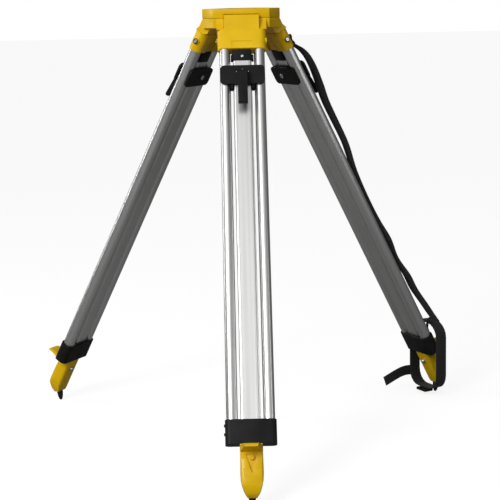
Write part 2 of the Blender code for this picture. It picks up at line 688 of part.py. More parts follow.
def shoe_bolt(leg, empty):
    head = SHOE_INNER - GAP
    profile = [
        (0, -0.005),
        (0.0046, -0.005),
        (0.0058, -0.0036),
        (0.0058, 0),
        (SHOE_BOLT_RADIUS, 0),
        (SHOE_BOLT_RADIUS, SHOE_OUTER - 0.0038 - head),
        (0, SHOE_OUTER - 0.0038 - head),
    ]
    bolt = turned(profile, 16)
    bmesh.ops.rotate(bolt, verts=bolt.verts, matrix=Matrix.Rotation(math.radians(-90), 3, "X"))
    bmesh.ops.translate(bolt, verts=bolt.verts, vec=(0, head, -SHOE_TOP - SHOE_BOLT_DROP))
    add(leg + "_shoe_bolt", bolt, "steel", empty)


def spike(leg, empty):
    profile = [
        (0, -0.014),
        (0.004, -0.014),
        (0.004, GAP),
        (0.0072, GAP),
        (0.0072, 0.005),
        (0.0064, 0.013),
        (0.0050, 0.0195),
        (SPIKE_TIP_RADIUS, SPIKE_LENGTH),
        (0, SPIKE_LENGTH),
    ]
    bm = turned(profile, 16)
    turn = SPIKE_DIRECTION.to_track_quat("Z", "X").to_matrix()
    bmesh.ops.rotate(bm, verts=bm.verts, matrix=turn)
    bmesh.ops.translate(bm, verts=bm.verts, vec=SPIKE_BASE)
    add(leg + "_spike", bm, "dark_steel", empty)


def ribbon(path, width, thick):
    """A strap that follows (y, z) points, lying flat across X."""
    points = [Vector((0, y, z)) for y, z in path]
    outer, inner = [], []
    for index, point in enumerate(points):
        ahead = points[min(index + 1, len(points) - 1)]
        behind = points[max(index - 1, 0)]
        run = (ahead - behind).normalized()
        off = Vector((0, -run.z, run.y)) * thick / 2
        outer.append((point + off)[1:])
        inner.append((point - off)[1:])
    return prism(outer + inner[::-1], "X", -width / 2, width / 2)


def strap(empty):
    """Carrying strap of the right leg: plain solids that hold its place."""
    seat = BLOCK_FACE + STRAP_THICK / 2 + GAP
    top = BLOCK_BOTTOM - 0.022
    lane = TUBE_FACE + CLAMP_THICK + 2 * GAP + STRAP_THICK / 2
    path = [
        (seat, -top),
        (seat, -top - 0.018),
        (lane + 0.0040, -0.074),
        (lane + 0.0145, -0.090),
        (lane + 0.0210, -0.112),
        (lane + 0.0220, -0.142),
        (lane + 0.0185, -COLLAR_TOP * 0.2133),
        (lane + 0.0135, -COLLAR_TOP * 0.2648),
        (lane + 0.0140, -COLLAR_TOP * 0.3633),
        (lane + 0.0120, -COLLAR_TOP * 0.4031),
        (lane + 0.0040, -COLLAR_TOP * 0.4629),
        (lane + 0.0010, -COLLAR_TOP * 0.5390),
        (lane + 0.0020, -COLLAR_TOP * 0.6210),
        (lane + 0.0070, -COLLAR_TOP * 0.6890),
        (lane + 0.0020, -COLLAR_TOP * 0.7499),
        (lane + 0.0105, -COLLAR_TOP * 0.8156),
        (lane + 0.0115, -COLLAR_TOP * 0.8648),
        (lane + 0.0190, -COLLAR_TOP + 0.067),
        (lane + 0.0250, -COLLAR_TOP + 0.027),
        (lane + 0.0285, -COLLAR_TOP + 0.0075),
    ]
    bm = ribbon(path, STRAP_WIDTH, STRAP_THICK)
    bmesh.ops.translate(bm, verts=bm.verts, vec=(STRAP_SIDE, 0, 0))
    carry = add("carrying_strap", bm, "webbing", empty)
    screw_z = -top - 0.009
    boolean(carry, rod(0.0025 + GAP, (STRAP_SIDE, 0, screw_z), (STRAP_SIDE, 0.05, screw_z)))
    block_obj = bpy.data.objects["right_hinge_block"]
    depth = BLOCK_FACE - 0.0016
    boolean(block_obj, rod(0.0025 + GAP, (STRAP_SIDE, depth, screw_z), (STRAP_SIDE, 0.05, screw_z)))
    head = seat + STRAP_THICK / 2 + GAP
    profile = [
        (0, head + 0.003),
        (0.005, head + 0.003),
        (0.0065, head + 0.0012),
        (0.0065, head),
        (0.0025, head),
        (0.0025, depth + GAP),
        (0, depth + GAP),
    ]
    screw = turned(profile, 16)
    bmesh.ops.rotate(screw, verts=screw.verts, matrix=Matrix.Rotation(math.radians(-90), 3, "X"))
    bmesh.ops.translate(screw, verts=screw.verts, vec=(STRAP_SIDE, 0, screw_z))
    add("strap_screw", screw, "steel", empty)


def foot_tie(empty):
    """Loop of webbing that hangs round the right shoe, with its buckle and loose tail."""
    middle = Vector((0, LEG_OFFSET + 0.0042, -SHOE_TOP - 0.0181))
    across = Vector((0, math.cos(LEG_TILT), -math.sin(LEG_TILT)))
    down = Vector((0, -math.sin(LEG_TILT), -math.cos(LEG_TILT)))
    place = Matrix((Vector((1, 0, 0)), down, across)).transposed().to_4x4()
    place = Matrix.Translation(middle) @ place
    side = COLLAR_WIDTH + 0.0012
    length = 0.160
    shift = 0.0
    outer = rounded(side + 2 * STRAP_THICK, length + 2 * STRAP_THICK, 0.034 + STRAP_THICK, (0, shift), 6)
    inner = rounded(side, length, 0.034, (0, shift), 6)
    band = prism(outer, "Z", -TIE_WIDTH / 2, TIE_WIDTH / 2)
    bmesh.ops.transform(band, verts=band.verts, matrix=place)
    loop = add("foot_tie_loop", band, "webbing", empty)
    inside = prism(inner, "Z", -TIE_WIDTH, TIE_WIDTH)
    bmesh.ops.transform(inside, verts=inside.verts, matrix=place)
    boolean(loop, inside)
    edge = shift + length / 2 + STRAP_THICK + GAP
    body = block((-0.018, edge, -0.022), (0.018, edge + 0.007, 0.003))
    bmesh.ops.transform(body, verts=body.verts, matrix=place)
    buckle = add("tie_buckle", body, "black_plastic", empty)
    soften(buckle, 0.0015, 1)
    beside = -(side / 2 + STRAP_THICK + GAP + STRAP_THICK / 2)
    start = place @ Vector((beside, 0.056, 0))
    inward = Vector((0, -math.cos(LEG_TILT), math.sin(LEG_TILT)))
    upward = Vector((0, math.sin(LEG_TILT), math.cos(LEG_TILT)))
    line = []
    for run, rise in ((-0.006, 0.0), (0.014, 0.006), (0.042, 0.004), (0.089, -0.012)):
        line.append(start + inward * run + upward * rise)
    low = [(point - upward * 0.012)[1:] for point in line]
    high = [(point + upward * 0.012)[1:] for point in line]
    tail = prism(low + high[::-1], "X", beside - STRAP_THICK / 2, beside + STRAP_THICK / 2)
    add("tie_tail", tail, "webbing", empty)


def keeper(empty):
    """Short cord loop that ties the strap's lower end to the collar."""
    face = LEG_OFFSET + COLLAR_DEPTH / 2
    lane = TUBE_FACE + CLAMP_THICK + 2 * GAP + STRAP_THICK / 2
    points = [
        (face + 0.0022, -COLLAR_TOP - 0.008),
        (face + 0.0030, -COLLAR_TOP + 0.004),
        (face + 0.0055, -COLLAR_TOP + 0.014),
        (face + 0.0105, -COLLAR_TOP + 0.022),
        (lane + 0.0218, -COLLAR_TOP + 0.024),
    ]
    curve = bpy.data.curves.new("strap_keeper", "CURVE")
    curve.dimensions = "3D"
    spline = curve.splines.new("POLY")
    spline.points.add(len(points) - 1)
    for target, (y, z) in zip(spline.points, points):
        target.co = (STRAP_SIDE, y, z, 1)
    curve.bevel_depth = 0.0018
    curve.bevel_resolution = 2
    curve.use_fill_caps = True
    own = MATERIALS["webbing"].copy()
    own.name = "strap_keeper_finish"
    curve.materials.append(own)
    obj = bpy.data.objects.new("strap_keeper", curve)
    obj.parent = empty
    bpy.context.scene.collection.objects.link(obj)


def centre_on_floor():
    """Moves everything so that the middle of the outline's bottom is the origin, whatever the sizes are."""
    bpy.context.view_layer.update()
    graph = bpy.context.evaluated_depsgraph_get()
    low = Vector((math.inf,) * 3)
    high = Vector((-math.inf,) * 3)
    for obj in bpy.data.objects:
        if obj.type == "EMPTY" or obj.hide_render:
            continue
        evaluated = obj.evaluated_get(graph)
        for vertex in evaluated.to_mesh().vertices:
            point = evaluated.matrix_world @ vertex.co
            low = Vector(map(min, low, point))
            high = Vector(map(max, high, point))
        evaluated.to_mesh_clear()
    shift = Vector(((low.x + high.x) / 2, (low.y + high.y) / 2, low.z))
    for obj in bpy.data.objects:
        if obj.parent is None:
            obj.location -= shift


def main():
    clear_scene()
    make_materials()
    head_plate()
    head_frame()
    centre_screw()
    for leg, azimuth in LEG_AZIMUTHS.items():
        empty = leg_empty(leg, azimuth)
        hinge_block(leg, empty)
        hinge_fasteners(leg, empty)
        outer_tubes(leg, empty)
        collar(leg, empty)
        rail(leg, empty)
        rail_cap(leg, empty)
        clamp_plates(leg, empty)
        clamp_bolt(leg, empty)
        clamp_lever(leg, empty)
        shoe(leg, empty)
        shoe_bolt(leg, empty)
        spike(leg, empty)
        if leg == "right":
            strap(empty)
            foot_tie(empty)
            keeper(empty)
    centre_on_floor()


main()
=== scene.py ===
# %% [markdown]
# A survey tripod, finished piece by piece
#
# The tripod's plain solids are already in place: every casting, tube and screw has its position and its joints. This
# script gives each of them the shape and finish that a close look needs. It starts by loading the solids.

import json
import math

import bmesh
import bpy
from mathutils import Matrix, Vector


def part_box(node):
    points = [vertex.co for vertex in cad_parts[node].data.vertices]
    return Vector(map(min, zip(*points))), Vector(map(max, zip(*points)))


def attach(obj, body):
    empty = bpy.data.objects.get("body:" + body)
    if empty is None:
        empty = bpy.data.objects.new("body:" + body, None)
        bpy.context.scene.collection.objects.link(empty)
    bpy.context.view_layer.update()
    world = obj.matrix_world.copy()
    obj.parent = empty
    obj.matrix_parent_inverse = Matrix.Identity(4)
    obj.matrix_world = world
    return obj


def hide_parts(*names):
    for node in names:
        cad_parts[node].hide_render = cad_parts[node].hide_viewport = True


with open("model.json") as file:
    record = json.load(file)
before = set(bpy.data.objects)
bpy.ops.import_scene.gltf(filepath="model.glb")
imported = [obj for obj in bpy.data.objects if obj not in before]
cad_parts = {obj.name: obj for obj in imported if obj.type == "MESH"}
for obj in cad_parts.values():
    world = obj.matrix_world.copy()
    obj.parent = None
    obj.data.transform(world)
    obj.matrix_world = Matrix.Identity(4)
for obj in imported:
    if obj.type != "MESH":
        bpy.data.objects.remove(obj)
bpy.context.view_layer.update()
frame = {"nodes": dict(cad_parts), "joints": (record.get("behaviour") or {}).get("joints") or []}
nodes = frame["nodes"]

# %% [markdown]
# Everything on a tripod hangs off two things: the head's vertical axis and the three hinge axes. The head's axis is
# the middle of the centre screw. Each leg gets its own matrix from its joints, with X along the hinge, Z up the
# leg and Y away from the tripod's middle, so that one set of sizes serves all three legs.

# %% Find the head's axis and the legs' own frames
screw_low, screw_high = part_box("centre_screw")
AXIS = Vector(((screw_low.x + screw_high.x) / 2, (screw_low.y + screw_high.y) / 2, 0))
HEAD_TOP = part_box("head_plate")[1].z
LEGS = ("front", "right", "left")
JOINTS = {joint["name"]: joint for joint in frame["joints"]}


def leg_frame(leg):
    """The matrix that takes a leg's own coordinates to the room's."""
    hinge = JOINTS[leg + "_leg_fold"]
    along_x = -Vector(hinge["axis"])
    along_z = -Vector(JOINTS[leg + "_leg_slide"]["axis"])
    turn = Matrix((along_x, along_z.cross(along_x), along_z)).transposed().to_4x4()
    return Matrix.Translation(Vector(hinge["pos_m"])) @ turn


LEG_FRAME = {leg: leg_frame(leg) for leg in LEGS}
HEAD_FRAME = Matrix.Translation(AXIS)


def own_box(node, place):
    """Lowest and highest corner of a CAD node in the coordinates of the given frame."""
    back = place.inverted()
    points = [back @ vertex.co for vertex in nodes[node].data.vertices]
    low = Vector([min(p[i] for p in points) for i in range(3)])
    high = Vector([max(p[i] for p in points) for i in range(3)])
    return low, high


print("head axis at", AXIS[:2], "head top", HEAD_TOP)

# %% [markdown]
# The camera comes first, because every later choice is judged through it. It stands a little over three metres in
# front of the tripod, a little above the head, and looks down by about ten degrees with a long lens, which keeps
# the three legs from flaring.

# %% Camera
YAW, PITCH, ROLL = 0.0082, 0.1737, -0.0206
CAMERA_ASIDE, CAMERA_BACK, CAMERA_RISE = -0.0172, -3.2125, 0.0352
FILM_WIDTH, LENS = 36, 106.07
ahead = Vector((math.sin(YAW) * math.cos(PITCH), math.cos(YAW) * math.cos(PITCH), -math.sin(PITCH)))
level = Vector((math.cos(YAW), -math.sin(YAW), 0))
above = level.cross(ahead)
right_side = math.cos(ROLL) * level + math.sin(ROLL) * above
top_side = math.cos(ROLL) * above - math.sin(ROLL) * level
camera = bpy.data.objects.new("camera", bpy.data.cameras.new("camera"))
camera.data.sensor_width = FILM_WIDTH
camera.data.lens = LENS
camera.matrix_world = (
    Matrix.Translation(AXIS + Vector((CAMERA_ASIDE, CAMERA_BACK, HEAD_TOP + CAMERA_RISE)))
    @ Matrix((right_side, top_side, -ahead)).transposed().to_4x4()
)
bpy.context.scene.collection.objects.link(camera)
bpy.context.scene.camera = camera
print("camera at", [round(c, 3) for c in camera.location])

# %% [markdown]
# Metal tubes show only what they reflect, so the room matters more than the lamps. To every surface it is dark at
# the sides and behind, and it brightens towards a point high up in front, a little to the left. That gives the
# tubes a bright middle and dark edges. The eye itself sees plain white behind the tripod. A soft key from the upper
# left shapes the castings, and a weak fill keeps their right sides open.

# %% Studio
BRIGHT_SIDE = (-0.34, -0.72, 0.60)
GLOW_STOPS = ((0.0, 0.10), (0.42, 0.12), (0.72, 0.36), (0.97, 0.86))
scene = bpy.context.scene
scene.view_settings.view_transform = "Standard"
world = bpy.data.worlds.new("studio")
scene.world = world
world.use_nodes = True
room = world.node_tree
sky = room.nodes["Background"]
seen = room.nodes.new("ShaderNodeBackground")
pick = room.nodes.new("ShaderNodeMixShader")
ray = room.nodes.new("ShaderNodeLightPath")
aim = room.nodes.new("ShaderNodeTexCoord")
bright_side = room.nodes.new("ShaderNodeVectorMath")
bright_side.operation = "DOT_PRODUCT"
bright_side.inputs[1].default_value = Vector(BRIGHT_SIDE).normalized()
glow = room.nodes.new("ShaderNodeValToRGB")
for _ in range(2):
    glow.color_ramp.elements.new(0.5)
for element, (spot, brightness) in zip(glow.color_ramp.elements, GLOW_STOPS):
    element.position = spot
    element.color = (brightness, brightness, brightness * 1.01, 1)
sky.inputs["Strength"].default_value = 1.15
seen.inputs["Color"].default_value = (1, 1, 1, 1)
seen.inputs["Strength"].default_value = 1.0
room.links.new(aim.outputs["Generated"], bright_side.inputs[0])
room.links.new(bright_side.outputs["Value"], glow.inputs[0])
room.links.new(glow.outputs[0], sky.inputs["Color"])
room.links.new(ray.outputs["Is Camera Ray"], pick.inputs[0])
room.links.new(sky.outputs[0], pick.inputs[1])
room.links.new(seen.outputs[0], pick.inputs[2])
room.links.new(pick.outputs[0], room.nodes["World Output"].inputs[0])


def soft_light(name, place, size, watts):
    """A rectangular lamp that looks at the middle of the tripod."""
    lamp = bpy.data.objects.new(name, bpy.data.lights.new(name, "AREA"))
    lamp.data.shape = "RECTANGLE"
    lamp.data.size, lamp.data.size_y = size
    lamp.data.energy = watts
    lamp.location = place
    lamp.rotation_euler = (Vector((0, 0, 0.5)) - Vector(place)).to_track_quat("-Z", "Y").to_euler()
    scene.collection.objects.link(lamp)


soft_light("key", (-1.7, -2.5, 2.3), (1.0, 1.4), 64)
soft_light("fill", (2.6, -1.4, 1.2), (0.5, 1.6), 6)
soft_light("strip", (-2.3, 0.9, 1.3), (0.4, 1.8), 12)
print("room and three lamps set")

# %% [markdown]
# The floor is one large plane of grey paper, which throws little light up at the tripod. A glow that only the eye
# sees lifts it to near white, so that it almost meets the white behind it and still keeps faint contact shadows.


# %% Floor
FLOOR_REACH, PAPER_GREY, GLOW_FOR_THE_EYE = 30, 0.24, 0.86


def studio_floor():
    bm = bmesh.new()
    bmesh.ops.create_grid(bm, x_segments=1, y_segments=1, size=FLOOR_REACH)
    mesh = bpy.data.meshes.new("floor")
    bm.to_mesh(mesh)
    bm.free()
    floor = bpy.data.objects.new("floor", mesh)
    bpy.context.scene.collection.objects.link(floor)
    paper = bpy.data.materials.new("floor_paper")
    paper.use_nodes = True
    shader = paper.node_tree.nodes["Principled BSDF"]
    shader.inputs["Base Color"].default_value = (PAPER_GREY, PAPER_GREY, PAPER_GREY, 1)
    shader.inputs["Roughness"].default_value = 1.0
    shader.inputs["Specular IOR Level"].default_value = 0.0
    shader.inputs["Emission Color"].default_value = (1, 1, 1, 1)
    eye = paper.node_tree.nodes.new("ShaderNodeLightPath")
    lift = paper.node_tree.nodes.new("ShaderNodeMath")
    lift.operation = "MULTIPLY"
    lift.inputs[1].default_value = GLOW_FOR_THE_EYE
    paper.node_tree.links.new(eye.outputs["Is Camera Ray"], lift.inputs[0])
    paper.node_tree.links.new(lift.outputs[0], shader.inputs["Emission Strength"])
    mesh.materials.append(paper)


studio_floor()
print("floor laid")

# %% [markdown]
# Finishes
#
# A finish is a node tree that starts from where a point lies on its piece. Each piece below carries a vector
# attribute called grain, with the point's place in its leg's or the head's own coordinates. A pattern that is
# stretched along the grain's Z then runs along a tube, whichever way its leg leans.


# %% Helpers for finishes
class Finish:
    """A material under construction, with short calls for the nodes that the finishes share."""

    def __init__(self, name, roughness, metallic=0.0):
        self.material = bpy.data.materials.new(name)
        self.material.use_nodes = True
        self.tree = self.material.node_tree
        self.shader = self.tree.nodes["Principled BSDF"]
        self.shader.inputs["Metallic"].default_value = metallic
        self.shader.inputs["Roughness"].default_value = roughness

    def node(self, kind, **settings):
        made = self.tree.nodes.new(kind)
        for key, value in settings.items():
            setattr(made, key, value)
        return made

    def link(self, source, target):
        self.tree.links.new(source, target)

    def grain(self, stretch=(1, 1, 1)):
        """The point's place on its piece, stretched."""
        place = self.node("ShaderNodeAttribute", attribute_name="grain")
        scaled = self.node("ShaderNodeMapping")
        scaled.inputs["Scale"].default_value = stretch
        self.link(place.outputs["Vector"], scaled.inputs["Vector"])
        return scaled.outputs["Vector"]

    def noise(self, vector, scale, detail=2.0, roughness=0.5):
        made = self.node("ShaderNodeTexNoise")
        made.inputs["Scale"].default_value = scale
        made.inputs["Detail"].default_value = detail
        made.inputs["Roughness"].default_value = roughness
        self.link(vector, made.inputs["Vector"])
        return made.outputs["Fac"]

    def ramp(self, factor, *stops):
        """Turns a factor into colours: each stop is a place and a colour."""
        made = self.node("ShaderNodeValToRGB")
        while len(made.color_ramp.elements) < len(stops):
            made.color_ramp.elements.new(0.5)
        for element, (place, colour) in zip(made.color_ramp.elements, stops):
            element.position = place
            element.color = (*colour, 1)
        self.link(factor, made.inputs["Fac"])
        return made.outputs["Color"]

    def remap(self, factor, low, high, start=0.0, stop=1.0):
        made = self.node("ShaderNodeMapRange")
        made.inputs["From Min"].default_value = start
        made.inputs["From Max"].default_value = stop
        made.inputs["To Min"].default_value = low
        made.inputs["To Max"].default_value = high
        self.link(factor, made.inputs["Value"])
        return made.outputs["Result"]

    def mix(self, factor, first, second):
        made = self.node("ShaderNodeMix", data_type="RGBA")
        self.link(factor, made.inputs["Factor"])
        for socket, value in ((made.inputs[6], first), (made.inputs[7], second)):
            if isinstance(value, tuple):
                socket.default_value = (*value, 1)
            else:
                self.link(value, socket)
        return made.outputs[2]

    def calculate(self, operation, first, second):
        made = self.node("ShaderNodeMath", operation=operation)
        for socket, value in zip(made.inputs, (first, second)):
            if isinstance(value, (int, float)):
                socket.default_value = value
            else:
                self.link(value, socket)
        return made.outputs[0]

    def colour(self, source):
        self.link(source, self.shader.inputs["Base Color"])

    def gloss(self, source):
        self.link(source, self.shader.inputs["Roughness"])

    def bump(self, *layers):
        """Stacks bumps: each layer is a height source, a depth in metres and a strength."""
        normal = None
        for height, depth, strength in layers:
            made = self.node("ShaderNodeBump")
            made.inputs["Distance"].default_value = depth
            made.inputs["Strength"].default_value = strength
            self.link(height, made.inputs["Height"])
            if normal is not None:
                self.link(normal, made.inputs["Normal"])
            normal = made.outputs["Normal"]
        self.link(normal, self.shader.inputs["Normal"])


# %% [markdown]
# Yellow paint on a sand casting. The real surface is a warm yellow with an orange-peel texture in the gloss, faint
# cloudiness where the coat is thicker, and paler paint on the corners, partly rubbed paint and partly a painted
# highlight.
# Pointiness would mark the corners too, but it depends on how finely a mesh is cut, so a Bevel node compares the
# true normal with a rounded one.


# %% Yellow paint
def yellow_paint():
    finish = Finish("yellow_paint", 0.3)
    place = finish.grain()
    cloud = finish.noise(place, 22, 3)
    speck = finish.noise(place, 900, 2)
    base = finish.ramp(cloud, (0.3, (0.74, 0.450, 0.0008)), (0.7, (0.82, 0.520, 0.0012)))
    rounded = finish.node("ShaderNodeBevel", samples=4)
    rounded.inputs["Radius"].default_value = 0.0012
    true = finish.node("ShaderNodeNewGeometry")
    compare = finish.node("ShaderNodeVectorMath", operation="DOT_PRODUCT")
    finish.link(rounded.outputs["Normal"], compare.inputs[0])
    finish.link(true.outputs["Normal"], compare.inputs[1])
    edge = finish.remap(compare.outputs["Value"], 0.8, 0.0, 0.80, 0.97)
    # Paler paint on the corners: partly rubbed paint, partly a painted highlight on the rounded edges.
    rubbed_and_highlit_edge = finish.calculate("MULTIPLY", edge, finish.remap(speck, 0.0, 1.0, 0.42, 0.62))
    finish.colour(finish.mix(rubbed_and_highlit_edge, base, (0.90, 0.66, 0.05)))
    finish.gloss(finish.remap(cloud, 0.27, 0.38))
    finish.shader.inputs["Specular IOR Level"].default_value = 0.22
    finish.shader.inputs["Coat Weight"].default_value = 0.06
    finish.shader.inputs["Coat Roughness"].default_value = 0.18
    finish.bump((finish.noise(place, 420, 2), 0.0004, 0.22), (finish.noise(place, 60, 2), 0.0008, 0.10))
    return finish.material


# %% [markdown]
# Drawn aluminium. Tube is pulled through a die, which leaves hairlines along its length: noise that is stretched
# a hundredfold along the grain's Z, in the gloss and very lightly in the bump. A clear anodised coat keeps it
# from looking like chrome, so its roughness stays near a third.


# %% Drawn aluminium
def drawn_aluminium():
    finish = Finish("drawn_aluminium", 0.3, 1.0)
    lines = finish.noise(finish.grain((900, 900, 5)), 1.0, 3, 0.6)
    broad = finish.noise(finish.grain((120, 120, 1.6)), 1.0, 2)
    scuff = finish.noise(finish.grain((60, 60, 60)), 1.0, 4, 0.7)
    tone = finish.ramp(broad, (0.3, (0.66, 0.66, 0.65)), (0.7, (0.78, 0.78, 0.77)))
    marks = finish.remap(scuff, 0.0, 0.35, 0.62, 0.78)
    finish.colour(finish.mix(marks, tone, (0.50, 0.50, 0.49)))
    finish.gloss(finish.remap(lines, 0.24, 0.40))
    finish.bump((lines, 0.00008, 0.35))
    return finish.material


# %% [markdown]
# Moulded black plastic: glass-filled nylon has a fine, even grain and a dull sheen, and is never quite black. The
# grain is a small cell pattern in the bump, and a wide, soft noise moves the gloss a little.


# %% Moulded plastic
def moulded_plastic():
    finish = Finish("moulded_plastic", 0.5)
    place = finish.grain()
    wide = finish.noise(place, 35, 2)
    finish.colour(finish.ramp(wide, (0.3, (0.0065, 0.0065, 0.0065)), (0.7, (0.012, 0.012, 0.012))))
    finish.gloss(finish.remap(wide, 0.40, 0.52))
    finish.shader.inputs["Specular IOR Level"].default_value = 0.14
    cells = finish.node("ShaderNodeTexVoronoi")
    cells.inputs["Scale"].default_value = 1500
    finish.link(place, cells.inputs["Vector"])
    finish.bump((cells.outputs["Distance"], 0.00012, 0.3))
    return finish.material


# %% [markdown]
# Screws and pins are zinc plated, bright with a slight cool cast and faint handling marks. The spikes are
# hardened and blackened, with bare steel where the ground has polished the point.


# %% Plated and blackened steel
def plated_steel():
    finish = Finish("plated_steel", 0.25, 1.0)
    place = finish.grain()
    marks = finish.noise(place, 500, 3)
    finish.colour(finish.ramp(marks, (0.3, (0.60, 0.61, 0.63)), (0.7, (0.78, 0.79, 0.80))))
    finish.gloss(finish.remap(marks, 0.18, 0.34))
    finish.bump((marks, 0.00005, 0.3))
    return finish.material


def blackened_steel():
    finish = Finish("blackened_steel", 0.45, 0.85)
    place = finish.grain()
    rub = finish.noise(place, 260, 4, 0.65)
    finish.colour(finish.ramp(rub, (0.45, (0.020, 0.019, 0.018)), (0.75, (0.13, 0.125, 0.12))))
    finish.gloss(finish.remap(rub, 0.38, 0.55))
    finish.bump((finish.noise(place, 700, 2), 0.0001, 0.3))
    return finish.material


# %% [markdown]
# Webbing is woven nylon. Its pattern has to follow the strap through every bend, so it reads the strap's own UV
# map, where U runs across the width and V along the length, both in metres. Two waves at right angles make the
# warp and the weft, and a little sheen gives the dusty look of fibre.


# %% Webbing
WARP_PITCH, WEFT_PITCH = 0.0016, 0.0022


def woven_webbing():
    finish = Finish("woven_webbing", 0.8)
    own = finish.node("ShaderNodeUVMap", uv_map="strap")
    split = finish.node("ShaderNodeSeparateXYZ")
    finish.link(own.outputs["UV"], split.inputs[0])
    warp = finish.calculate("MULTIPLY", split.outputs[0], 2 * math.pi / WARP_PITCH)
    across = finish.calculate("SINE", warp, 0.0)
    row = finish.calculate("MULTIPLY", split.outputs[1], 2 * math.pi / WEFT_PITCH)
    shifted = finish.calculate("ADD", row, finish.calculate("MULTIPLY", across, 0.9))
    weft = finish.calculate("SINE", shifted, 0.0)
    warp_height = finish.calculate("ADD", across, 1.0)
    weft_height = finish.calculate("ADD", weft, 1.0)
    weave = finish.calculate("MULTIPLY", warp_height, weft_height)
    height = finish.calculate("MULTIPLY", weave, 0.25)
    dust = finish.noise(finish.grain(), 45, 3)
    dark = finish.ramp(dust, (0.3, (0.004, 0.004, 0.0045)), (0.75, (0.011, 0.011, 0.012)))
    # The colour is lighter on the weave's high points: painted light on the raised threads and painted shade between
    # them.
    finish.colour(finish.mix(finish.calculate("MULTIPLY", height, 0.55), dark, (0.026, 0.026, 0.028)))
    finish.shader.inputs["Sheen Weight"].default_value = 0.15
    finish.shader.inputs["Sheen Roughness"].default_value = 0.4
    finish.bump((height, 0.0003, 0.7))
    return finish.material


FINISH = {
    "yellow_paint": yellow_paint(),
    "aluminium": drawn_aluminium(),
    "black_plastic": moulded_plastic(),
    "steel": plated_steel(),
    "dark_steel": blackened_steel(),
    "webbing": woven_webbing(),
}
print("finishes:", ", ".join(FINISH))

# %% [markdown]
# Modelling helpers
#
# A piece is modelled in its leg's or the head's coordinates. The helper below stores those coordinates as the
# grain attribute, moves the mesh to its real place and leaves the object itself at the origin, unturned.


# %% Make a piece
def piece(name, bm, body, finish, place, stands_for=(), smooth=38, bevel=0.0):
    """An object from a bmesh, on its body. stands_for names the plain solids that it takes the place of."""
    bmesh.ops.recalc_face_normals(bm, faces=bm.faces)
    mesh = bpy.data.meshes.new(name)
    bm.to_mesh(mesh)
    bm.free()
    grain = mesh.attributes.new("grain", "FLOAT_VECTOR", "POINT")
    coordinates = [0.0] * (3 * len(mesh.vertices))
    mesh.vertices.foreach_get("co", coordinates)
    grain.data.foreach_set("vector", coordinates)
    mesh.transform(place)
    mesh.shade_smooth()
    mesh.set_sharp_from_angle(angle=math.radians(smooth))
    mesh.materials.append(FINISH[finish])
    obj = bpy.data.objects.new(name, mesh)
    bpy.context.scene.collection.objects.link(obj)
    if bevel:
        round_edges(obj, bevel)
    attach(obj, body)
    if stands_for:
        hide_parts(*stands_for)
    return obj


def round_edges(obj, width):
    modifier = obj.modifiers.new("rounded_edges", "BEVEL")
    modifier.width = width
    modifier.segments = 3
    modifier.limit_method = "ANGLE"
    modifier.angle_limit = math.radians(38)
    modifier.harden_normals = True
    modifier.use_clamp_overlap = True


# %% [markdown]
# Castings and mouldings keep the CAD shape. A CAD mesh is loose triangles, so a copy is merged and its flat areas
# are dissolved back into single faces, and then its edges are rounded, which is what makes a casting catch light.


# %% Refine a CAD node
def refined(node, body, finish, place, bevel):
    bm = bmesh.new()
    bm.from_mesh(nodes[node].data)
    bmesh.ops.remove_doubles(bm, verts=bm.verts, dist=2e-6)
    bmesh.ops.dissolve_limit(bm, angle_limit=math.radians(0.8), verts=bm.verts, edges=bm.edges)
    bmesh.ops.transform(bm, matrix=place.inverted(), verts=bm.verts)
    return piece(node + "_finished", bm, body, finish, place, (node,), bevel=bevel)


# %% [markdown]
# Three shape helpers cover most of the new pieces: a solid extruded from an outline, a solid turned about Z, and
# the outline of a rectangle with round corners.


# %% Outlines, extrusions and turned shapes
def rounded(width, depth, radius, centre=(0.0, 0.0), steps=10):
    """The outline of a rectangle with round corners, anticlockwise."""
    points = []
    for turn, (sx, sy) in enumerate(((1, 1), (-1, 1), (-1, -1), (1, -1))):
        middle = (centre[0] + sx * (width / 2 - radius), centre[1] + sy * (depth / 2 - radius))
        for step in range(steps + 1):
            angle = math.radians(90) * (turn + step / steps)
            points.append((middle[0] + radius * math.cos(angle), middle[1] + radius * math.sin(angle)))
    return points


def moved_out(bm, face, rise):
    """Extrudes one face and moves the new end along Z."""
    made = bmesh.ops.extrude_face_region(bm, geom=[face])["geom"]
    bmesh.ops.translate(bm, vec=(0, 0, rise), verts=[v for v in made if isinstance(v, bmesh.types.BMVert)])


def extruded(outline, low, high):
    """A solid with the given outline, from one height to another."""
    bm = bmesh.new()
    face = bm.faces.new([bm.verts.new((x, y, low)) for x, y in outline])
    moved_out(bm, face, high - low)
    return bm


def turned(profile, sides):
    """A solid turned about Z from a profile of radii and heights."""
    bm = bmesh.new()
    points = [bm.verts.new((radius, 0, z)) for radius, z in profile]
    edges = [bm.edges.new(pair) for pair in zip(points, points[1:])]
    axis = {"cent": (0, 0, 0), "axis": (0, 0, 1)}
    bmesh.ops.spin(bm, geom=points + edges, angle=math.tau, steps=sides, use_merge=True, **axis)
    bmesh.ops.remove_doubles(bm, verts=bm.verts, dist=1e-6)
    return bm


def place_bmesh(bm, at, towards):
    """Moves a shape made about Z to a point, with its Z turned to a direction."""
    turn = Vector(towards).to_track_quat("Z", "Y").to_matrix().to_4x4()
    bmesh.ops.transform(bm, matrix=Matrix.Translation(at) @ turn, verts=bm.verts)
    return bm


def joined(*parts):
    """One bmesh out of several separate shapes."""
    whole = bmesh.new()
    for part in parts:
        mesh = bpy.data.meshes.new("part")
        bmesh.ops.recalc_face_normals(part, faces=part.faces)
        part.to_mesh(mesh)
        part.free()
        whole.from_mesh(mesh)
        bpy.data.meshes.remove(mesh)
    return whole


# %% [markdown]
# A screw's head is what one sees of it. Its recess is a real hexagon: the top face of a 24-sided head is inset,
# the inner ring is pulled in to a hexagon's outline and pushed down.


